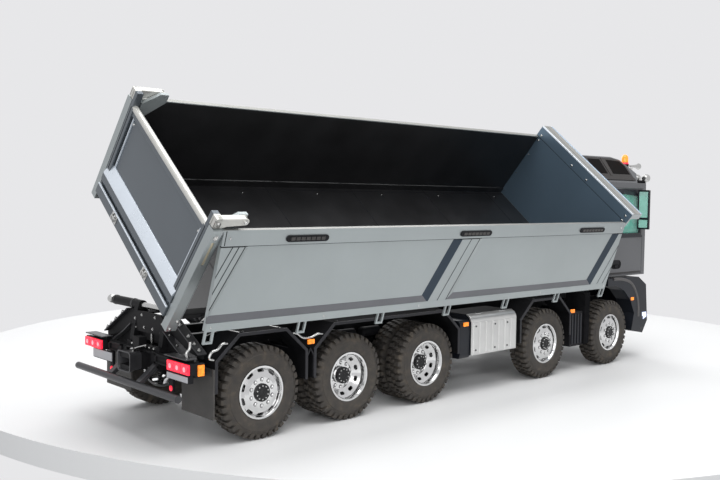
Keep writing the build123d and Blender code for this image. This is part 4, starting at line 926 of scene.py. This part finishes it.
def build_locker():
    """The silver ribbed locker and the dark boxes beside it, for the CAD one, and its small parts."""
    (y0, y1), (x0, x1) = LOCKER_Y, LOCKER_X
    core = [(y0 + 1, 38.5), (y0 + 1, 72.6), (y0 + 7.4, 78.6), (y1, 78.6), (y1, 38.5)]
    black = [end_plate(core, (x0 + 0.5, x1 - 0.5)), block((262, 320), (y1 - 0.5, -27), (56, 68)),
             end_plate(rounded((-85, y1), (36, 74), 4), (241, 256.5))]
    cover = [(y0 + 7, 79.5), (y0 + 3.2, 77.6), (y0 + 0.9, 75), (y0, 72), (y0, 38.5), (y0 + 1.2, 38.5),
             (y0 + 1.2, 71.6), (y0 + 4.2, 76.2), (y0 + 7.6, 78.4)]
    silver = [end_plate(cover, (x0, x1))]
    pitch = (x1 - x0 - 2) / LOCKER_RIDGES
    spots = []
    for i in range(LOCKER_RIDGES):
        start = x0 + 1 + i * pitch
        ridge = [(start + 1, y0 + 0.1), (start + 2, y0 - 0.7), (start + pitch - 2, y0 - 0.7),
                 (start + pitch - 1, y0 + 0.1)]
        silver.append(flat_plate(ridge, (40, 71)))
        if i in (0, 3, 5):
            spots += [(start + pitch / 2, y0 - 0.7, z) for z in (43.5, 67.5)]
    rivets = dome_screws(spots, (0, -1, 0), 0.95)
    hinges = [rod((x, y0 + 6, 79), (x + 9, y0 + 6, 79), 0.7, 14) for x in (268, 306)]
    lid = block((x0 + 0.3, x1 - 0.3), (y0 + 7.8, y1), (78.5, 79))
    pieces("chassis", ("locker_core", black, "gloss_black", 0.4, "silver_locker"),
           ("locker_cover", silver, "silver_locker", 0.25), stands_for=["toolbox"])
    pieces("chassis", ("locker_lid", [lid], "seam_black", 0.2), ("locker_rivets", rivets, "cast_grey"),
           ("locker_hinges", hinges, "bright_steel"))


def build_tanks():
    """Ribs, straps and caps on the tanks, and air bottles behind them."""
    big_cap = [(0, 0), (4.2, 0), (4.4, 0.8), (4.4, 2.6), (3.6, 3.2), (0, 3.3)]
    small_cap = [(0, 0), (3.2, 0), (3.2, 1.6), (2.6, 2.3), (0, 2.4)]
    caps = [turned(big_cap, (267, 72, 77.9), UP, 28)]
    ribs = [block((245, 326), (86.8, 87.3), (z - 0.6, z + 0.6)) for z in (46, 57, 68)]
    bottles, straps = [], []
    for side in (-1, 1):
        for x in (430.5, 436.1, 441.7, 447.3):
            ribs.append(block((x, x + 2.4), on(side, 85.8, 86.9), (31.5, 65.5)))
        caps.append(turned(small_cap, (440, side * 72, 67.9), UP, 24))
        y = side * 38.5
        bottles += [rod((x, y, 66.5), (x + 24, y, 66.5), 4.6, 28, 1.4) for x in (85, 118, 150)]
    for x in (254, 285, 314):
        for y, z in (((86.8, 87.6), (35.7, 78.4)), ((46, 87.6), (77.8, 78.5)), ((46, 87.6), (35.5, 36.2))):
            straps.append(block((x, x + 4), y, z))
    pieces("chassis", ("tank_ribs", ribs, "gloss_black", 0.3), ("tank_straps", straps, "bright_steel", 0.15),
           ("tank_caps", caps, "cast_grey", 0, "black_plastic"), ("air_bottles", bottles, "black_plastic"))


def build_guards():
    """Raised rims on the wheel guards and a stay between two, spring clips and stays, and flap bolts."""
    rims, clips, screws = [], [], []
    top, foot, edge, chamfer, wide = 88, 43, 20, 22, 2.6
    for x0, x1 in GUARD_SPANS:
        outline = [(x0, foot), (x0, top - edge), (x0 + chamfer, top), (x1 - chamfer, top), (x1, top - edge),
                   (x1, foot), (x1 - wide, foot), (x1 - wide, top - edge - 1),
                   (x1 - chamfer - 1, top - wide), (x0 + chamfer + 1, top - wide),
                   (x0 + wide, top - edge - 1), (x0 + wide, foot)]
        for side in (-1, 1):
            rims.append(side_plate(outline, on(side, 87.3, 88.3)))
            spots = [(x, side * 84, top) for x in (x0 + chamfer + 6, x1 - chamfer - 6)]
            screws += hex_bolts(spots, UP, 0.8)
    # clips on the right alone, as (x, z) points at a y, and those on both sides
    lamp_clip = ((-64.8, 72), (-65.2, 76), (-62.6, 79), (-62, 84))
    rear_clip = ((-45, 69), (-49, 70.8), (-46.7, 75.3), (-41.5, 76.8), (-37.2, 80.6), (-32.6, 80.4))
    for y, clip in ((-80, lamp_clip), (-86, rear_clip)):
        clips.append(bent(curve([(x, y, z) for x, z in clip]), 1))
    clip = ((31, 82.6), (35.6, 81.6), (42, 77.6), (50, 77.2), (58.2, 79.4), (63, 78.8))
    stay = ((45.6, 44), (45.6, 62), (49.4, 68), (53, 62), (53, 44))
    for side in (-1, 1):
        clips.append(bent(curve([(x, side * 86, z) for x, z in clip]), 0.9))
        rims.append(bent([(x, side * 87.2, z) for x, z in stay], 0.75))
        for x in (-20, 20):
            clips.append(bent([(x, side * y, z) for y, z in ((30, 76), (60, 87.4), (84, 87.4))], 0.8))
        screws += hex_bolts([(-46.5, side * y, 59) for y in (47, 65, 83)], BACK, 0.9)
        screws.append(block((-47.1, -46.4), on(side, 44, 86), (56.6, 61.4)))
    pieces("chassis", ("guard_rims", rims, "guard_edge", 0.2), ("guard_clips", clips, "bright_steel"),
           ("guard_screws", screws, "cast_grey"))


def build_running_gear():
    """Frame bolts, spring clamps, hoses with their straps, and collars on the cross sleeves."""
    bolts, clamps, hoses, collars, straps = ([] for _ in range(5))
    clamp_top = AXLE_Z + 11
    for side in (-1, 1):
        spots = [(-40 + i * 18, side * 27, z) for i in range(34) for z in (67.5, 57)]
        bolts += dome_screws(spots, (0, side, 0), 0.75)
        for _, x, twin in AXLES:
            foot = AXLE_Z - (7.4 if twin else 6.4)
            hoop = ((29.6, foot), (29.6, clamp_top), (39.4, clamp_top), (39.4, foot))
            clamps += [bent([(x + shift, side * y, z) for y, z in hoop], 0.7, 10) for shift in (-6, 6)]
            clamps.append(block((x - 8, x + 8), on(side, 29.2, 39.8), (clamp_top - 0.6, clamp_top + 0.6)))
        collars += [rod((x, side * y, 101), (x, side * (y + 3), 101), 4.3, 28)
                    for x in (-47, 435) for y in (33, 66)]
    for y, z in ((-4, 71), (0, 72.2), (4, 71)):
        for route in ([(-40, y, z), (60, y * 1.3, z - 1.4), (160, y, z), (222, y * 1.2, 76)],
                      [(252, y, 76), (320, y * 1.4, z - 1.2), (410, y, z), (500, y, z + 1)]):
            hoses.append(bent(curve(route, 8), 1.1))
    for x in (-36, 20, 80, 140, 200, 270, 330, 390, 450, 496):
        straps += [block((x, x + 3), (-21.4, 21.4), (67.4, 68.6)),
                   block((x - 0.5, x + 3.5), (-7.4, 7.4), (68.4, 73.4))]
    pieces("chassis", ("hose_straps", straps, "cast_grey", 0.15, "black_frame"),
           ("frame_bolts", bolts, "cast_grey"), ("spring_clamps", clamps, "spring_steel"),
           ("sleeve_collars", collars, "cast_grey", 0, "black_frame"), ("frame_hoses", hoses, "flap_rubber"))


# Cab

CAB_HALF = 80
ROOF_HALF = 58
CAB_REAR = 477
DOOR_X = (506, 588.6)
DOOR_LOW = 105.5


def lean_plate(outline, lift):
    """An (x, z) outline on the leaning side of the roof, thick between two heights above it."""
    run, rise = CAB_HALF - ROOF_HALF, ROOF_Z + 1 - BROW_Z
    length = math.hypot(run, rise)
    return drawn_out(outline, lift, lambda x, z, height: (
        x, -CAB_HALF + run * (z - BROW_Z) / rise - rise / length * height, z + run / length * height))


def build_cab_sides():
    """Roof panels, window frames, handles, seams, mirror faces, corner deflectors and lower edges."""
    face = -CAB_HALF
    proud = (face - 0.5, face + 0.1)
    trim = [lean_plate([(484, 219.5), (572, 219.5), (569.5, 236), (561, 244), (545, 246.6),
                        (484, 246.6)], (0, 0.35))]
    panes = [lean_plate(outline, (0.3, 0.6)) for outline in (
        [(529, 227), (567, 227), (565, 237.5), (558, 243), (529, 244.2)],
        [(490, 227), (517, 227), (515, 244.2), (490, 244.2)])]
    strips = [lean_plate([(521, 225), (525, 225), (523, 246.4), (519, 246.4)], (0.3, 0.9)),
              lean_plate([(484, 219.5), (572.5, 219.5), (572.2, 222.6), (484, 222.6)], (0.3, 1))]
    # window frame with its slanted front edge, the dark strip along its top, the sill and the door's seams
    outer = [(509.5, 151.5), (586.2, 151.5), (584.6, 209), (509.5, 209)]
    inner = [(513, 155.2), (582.4, 155.2), (580.4, 200.6), (513, 204.8)]
    rubber_frame = [skin([[(x, y, z) for x, z in outline] for outline, y in (
        (outer, proud[0]), (inner, proud[0]), (inner, proud[1]), (outer, proud[1]))], ring=True),
        side_plate([(540, 209.4), (586, 209.4), (583.5, 200), (576, 204)], (face - 0.7, face + 0.1)),
        block((513.5, 588), (face - 0.9, face + 0.1), (149.6, 152))]
    rubber_frame += [block((x - 0.35, x + 0.35), (face - 0.1, face + 0.15), (DOOR_LOW, 151)) for x in DOOR_X]
    cup = side_plate(stadium(519, 541.5, 112.2, 122.8, 5), (face - 0.15, face + 0.05))
    grip = [block((515.6, 534.4), (face - 1.9, face - 0.1), (117.6, 122.4)),
            block((526, 533), (face - 1.2, face), (113.6, 117))]
    foot = block((508, 586), (face - 0.8, face + 0.05), (106, 107.6))
    blade = [(597, face + 2), (602.2, face + 3.4), (602.6, face + 7), (598, face + 12),
             (596.6, face + 12)]
    upper_blade = [(595.6, face + 0.5), (597.6, face + 1.6), (598, face + 6), (595.6, face + 6)]
    deflectors = [flat_plate(blade, (103, 139)), flat_plate(upper_blade, (139, 154))]
    mirrors = [block((572.35, 572.95), (-95.8, -84.2), z) for z in ((174.3, 206.2), (161.8, 171.7))]
    rim_x = (571.7, 572.6)
    rims = [block(rim_x, (-97.4, -82.6), z) for z in ((159.9, 161.2), (172.2, 173.8), (207.2, 208.2))]
    rims += [block(rim_x, y, (160, 208)) for y in ((-97.45, -96.2), (-83.8, -82.5))]
    for side, place in (("right", standing), ("left", mirrored)):
        pieces("cab",
               (f"roof_side_{side}", trim, "roof_trim"), (f"roof_panes_{side}", panes, "dark_pane", 0.1),
               (f"roof_strips_{side}", strips, "roof_trim", 0.2),
               (f"corner_deflector_{side}", deflectors, "gloss_black", 0.4), place=place)
        pieces(f"door_{side}",
               (f"window_frame_{side}", rubber_frame, "gloss_black", 0.2),
               (f"handle_cup_{side}", [cup], "seam_black"),
               (f"door_handle_{side}", grip, "black_plastic", 0.5),
               (f"door_foot_{side}", [foot], "roof_trim", 0.25),
               (f"mirror_glass_{side}", mirrors, "mirror_face", 0.15),
               (f"mirror_rim_{side}", rims, "gloss_black", 0.2), place=place)


def build_cab_front():
    """Grille bars and mesh, frame, visor, wipers, the bumper's slats and bolts, and its blank plate."""
    x = CAB_FRONT
    gloss = [block((x + 4.6, x + 6), (-65, 65), (z - 0.4, z + 1.2)) for z in (111.5, 119, 126.5, 134, 141.5)]
    mesh_y = [-62 + i * 4.77 for i in range(27)]
    mesh = [block((x + 1.8, x + 3.6), (y - 0.5, y + 0.5), (111, 148)) for y in mesh_y]
    gloss += [block((x + 1.5, x + 5.6), (y - 1.4, y + 1.4), (108.5, 148.6)) for y in (-66.8, 66.8)]
    visor = [(x - 1, 214.5), (x + 7.5, 208), (x + 8.3, 208.8), (x + 1, 216.6)]
    gloss += [block((x + 1.5, x + 5.8), (-68, 68), (147.6, 150.6)), side_plate(visor, (-70, 70))]
    wipers, wiper_bolts = [], []
    slats = [block((597, 600.3), (-19, 19), (69.7, 78.3))]
    bumper_bolts = [rod((598, y, 63), (601, y, 63), 2.6, 24, 0.5) for y in (-6, 6)]
    for side in (-1, 1):
        arm = [(x + 1, side * 8, 152), (x + 2.2, side * 24, 158), (x + 1.4, side * 40, 170)]
        wipers += [bent(curve(arm), 0.8), rod((x + 1.2, side * 22, 163), (x + 0.6, side * 56, 176), 0.9, 12)]
        wiper_bolts += hex_bolts([(x + 2, side * 8, 152)], AHEAD)
        slats += [block((599, 600.2), on(side, 24, 62), (z - 1.6, z + 1.6)) for z in (44, 58, 72, 86)]
        bumper_bolts += hex_bolts([(599, side * 66, z) for z in (90, 44)], AHEAD, 1.1)
    plate = block((600.2, 600.8), (-18, 18), (70.5, 77.5))
    pieces("cab", ("grille_mesh", mesh, "black_plastic", 0.1), ("front_trim", gloss, "gloss_black", 0.3),
           ("wipers", wipers, "black_plastic"), ("wiper_bolts", wiper_bolts, "bright_steel"))
    pieces("chassis", ("bumper_slats", slats, "black_plastic", 0.2),
           ("bumper_bolts", bumper_bolts, "bright_steel"), ("front_plate", [plate], "blank_plate", 0.1))


def build_arches():
    """The round lip along each front wheel arch, two steps, and the glow behind the headlamp's side."""
    lips, steps, lights = [], [], []
    path = ((513, 101), (530, 100.4), (547, 97), (557, 91.5), (564.5, 83), (569.5, 73), (571.5, 62),
            (571.8, 52))
    light = [(0, 0), (2.6, 0), (2.2, 0.3), (1, 0.5), (0, 0.55)]
    for side in (-1, 1):
        lips.append(bent(curve([(x, side * 87, z) for x, z in path]), 2.1, 14))
        steps += [block((576, 583), on(side, 87.2, 88.2), (z - 1.6, z + 1.6)) for z in (36.5, 50)]
        lights.append(turned(light, (586, side * 88, 53), (0, side, 0), 24))
    pieces("chassis", ("arch_lips", lips, "arch_tube"), ("side_glow", lights, "white_lens"),
           ("front_steps", steps, "cast_grey", 0.4, "black_plastic"))


def build_cab_inside():
    """Seat cushions, dash faces and the rear wall's panels."""
    soft, rear = [], []
    for y in (-38, 38):
        for half, x, z in ((15, (515, 547), (127, 130.5)), (14, (516.2, 519.5), (131, 172)),
                           (8, (507.5, 515.5), (176, 187))):
            soft.append(block(x, (y - half, y + half), z))
    dash_x = (568.6, 569.8)
    faces = [block(dash_x, (20, 56), (134.5, 147)), block(dash_x, (-20, 14), (136, 146))]
    for y in (-30, 30):
        rear += [block((CAB_REAR - 0.8, CAB_REAR + 0.1), (y - 22, y + 22), z)
                 for z in ((170, 205), (120, 158))]
    pieces("cab", ("seat_pads", soft, "flap_rubber", 1.2, "cab_trim"),
           ("dash_faces", faces, "gloss_black", 0.3, "cab_trim"), ("cab_rear_panels", rear, "roof_trim", 0.4))


# Each finish and how the names of its CAD nodes start; the first start that fits a node counts
FINISHES = {
    "cast_grey": ("knuckle_", "driveline"), "tyre_rubber": ("tyre",), "polished_alloy": ("rim_",),
    "black_frame": ("frame", "tipping_subframe", "tow_coupling", "axles", "ram_barrel"),
    "bright_steel": ("ram_", "bed_journals"), "bed_lining": ("bed_floor",),
    "bed_paint": ("bed_", "side_wall", "tailgate"), "satin_tube": ("underrun_bar",), "red_lens": ("lamps",),
    "amber_lens": ("roof_gear",), "guard_black": ("mudguards",), "flap_rubber": ("mud_flaps",),
    "silver_locker": ("toolbox",), "black_plastic": ("side_tanks", "mirror", "cab_grille"),
    "gloss_black": ("front_bumper",), "spring_steel": ("leaf_springs",), "cab_trim": ("cab_interior",),
    "tinted_glass": ("windscreen", "door_glass"), "cab_paint": ("cab_shell", "door_"),
}


def finish_cad():
    """Gives every CAD node its material."""
    for name, node in NODES.items():
        finish = next(key for key, starts in FINISHES.items() if name.startswith(starts))
        node.data.materials.clear()
        node.data.materials.append(M[finish])


# Stage

TABLE_R = 0.56
TABLE_T = 0.02
# each lamp: place in millimetres, size in metres, power
LAMPS = {
    "key": ((150, -300, 1100), 1.1, 12),
    "fill": ((-700, -900, 500), 1.2, 6.6),
    "back": ((700, 700, 800), 1, 6),
}


def build_table():
    """A pale round table."""
    top = Finish("table_top", [(0.3, (0.8, 0.8, 0.8)), (0.7, (0.82, 0.82, 0.815))], 3)
    set_inputs(top.shader, Roughness=0.45, Specular_IOR_Level=0.3)
    middle = at(405, 153, -TABLE_T / MM / 2 - 0.05)
    bpy.ops.mesh.primitive_cylinder_add(vertices=256, radius=TABLE_R, depth=TABLE_T, location=middle)
    table = bpy.context.object
    table.name = "table"
    table.data.materials.append(top.mat)


def build_world():
    """Even pale light, and a paler backdrop for what looks straight at it."""
    world = bpy.data.worlds.new("studio")
    bpy.context.scene.world = world
    world.use_nodes = True
    nodes, links = world.node_tree.nodes, world.node_tree.links
    light = nodes["Background"]
    set_inputs(light, Color=(0.8, 0.82, 0.85, 1), Strength=0.55)
    backdrop = nodes.new("ShaderNodeBackground")
    set_inputs(backdrop, Color=(0.8, 0.8, 0.815, 1), Strength=1)
    path = nodes.new("ShaderNodeLightPath")
    direct = path.outputs["Is Camera Ray"]
    for ray in ("Is Glossy Ray", "Is Transmission Ray"):
        either = nodes.new("ShaderNodeMath")
        either.operation = "MAXIMUM"
        links.new(direct, either.inputs[0])
        links.new(path.outputs[ray], either.inputs[1])
        direct = either.outputs[0]
    mix = nodes.new("ShaderNodeMixShader")
    links.new(direct, mix.inputs["Fac"])
    links.new(light.outputs[0], mix.inputs[1])
    links.new(backdrop.outputs[0], mix.inputs[2])
    links.new(mix.outputs[0], nodes["World Output"].inputs["Surface"])


def build_lights():
    """Soft round lamps, aimed at the truck's middle."""
    target = at(230, 0, 90)
    for name, (place, size, power) in LAMPS.items():
        data = bpy.data.lights.new(name, "AREA")
        data.shape = "DISK"
        data.size = size
        data.energy = power
        lamp = bpy.data.objects.new(name, data)
        bpy.context.collection.objects.link(lamp)
        lamp.location = at(*place)
        lamp.rotation_euler = (target - lamp.location).to_track_quat("-Z", "Y").to_euler()


def build_camera():
    """The photograph's camera."""
    az, el, roll = (math.radians(v) for v in (CAMERA_AZIMUTH, CAMERA_ELEVATION, CAMERA_ROLL))
    ahead = Vector((math.sin(az) * math.cos(el), math.cos(az) * math.cos(el), math.sin(el)))
    right = Vector((math.cos(az), -math.sin(az), 0))
    up = right.cross(ahead)
    right_rolled = math.cos(roll) * right + math.sin(roll) * up
    up_rolled = -math.sin(roll) * right + math.cos(roll) * up
    turn = Matrix((right_rolled, up_rolled, -ahead)).transposed().to_4x4()
    data = bpy.data.cameras.new("camera")
    data.lens = CAMERA_LENS
    data.sensor_width = CAMERA_SENSOR
    data.clip_start = 0.01
    camera = bpy.data.objects.new("camera", data)
    bpy.context.collection.objects.link(camera)
    camera.matrix_world = Matrix.Translation(at(*CAMERA_AT)) @ turn
    bpy.context.scene.camera = camera


for build in (build_tyres, build_hubs, build_roof, build_side_walls, build_front_wall, build_floor_trim,
              build_tailgate, build_posts, build_rear_frame, build_coupling, build_lamps, build_locker,
              build_tanks, build_guards, build_running_gear, build_cab_sides, build_cab_front, build_arches,
              build_cab_inside, finish_cad, build_table, build_world, build_lights, build_camera):
    build()
bpy.context.scene.view_settings.view_transform = "Standard"
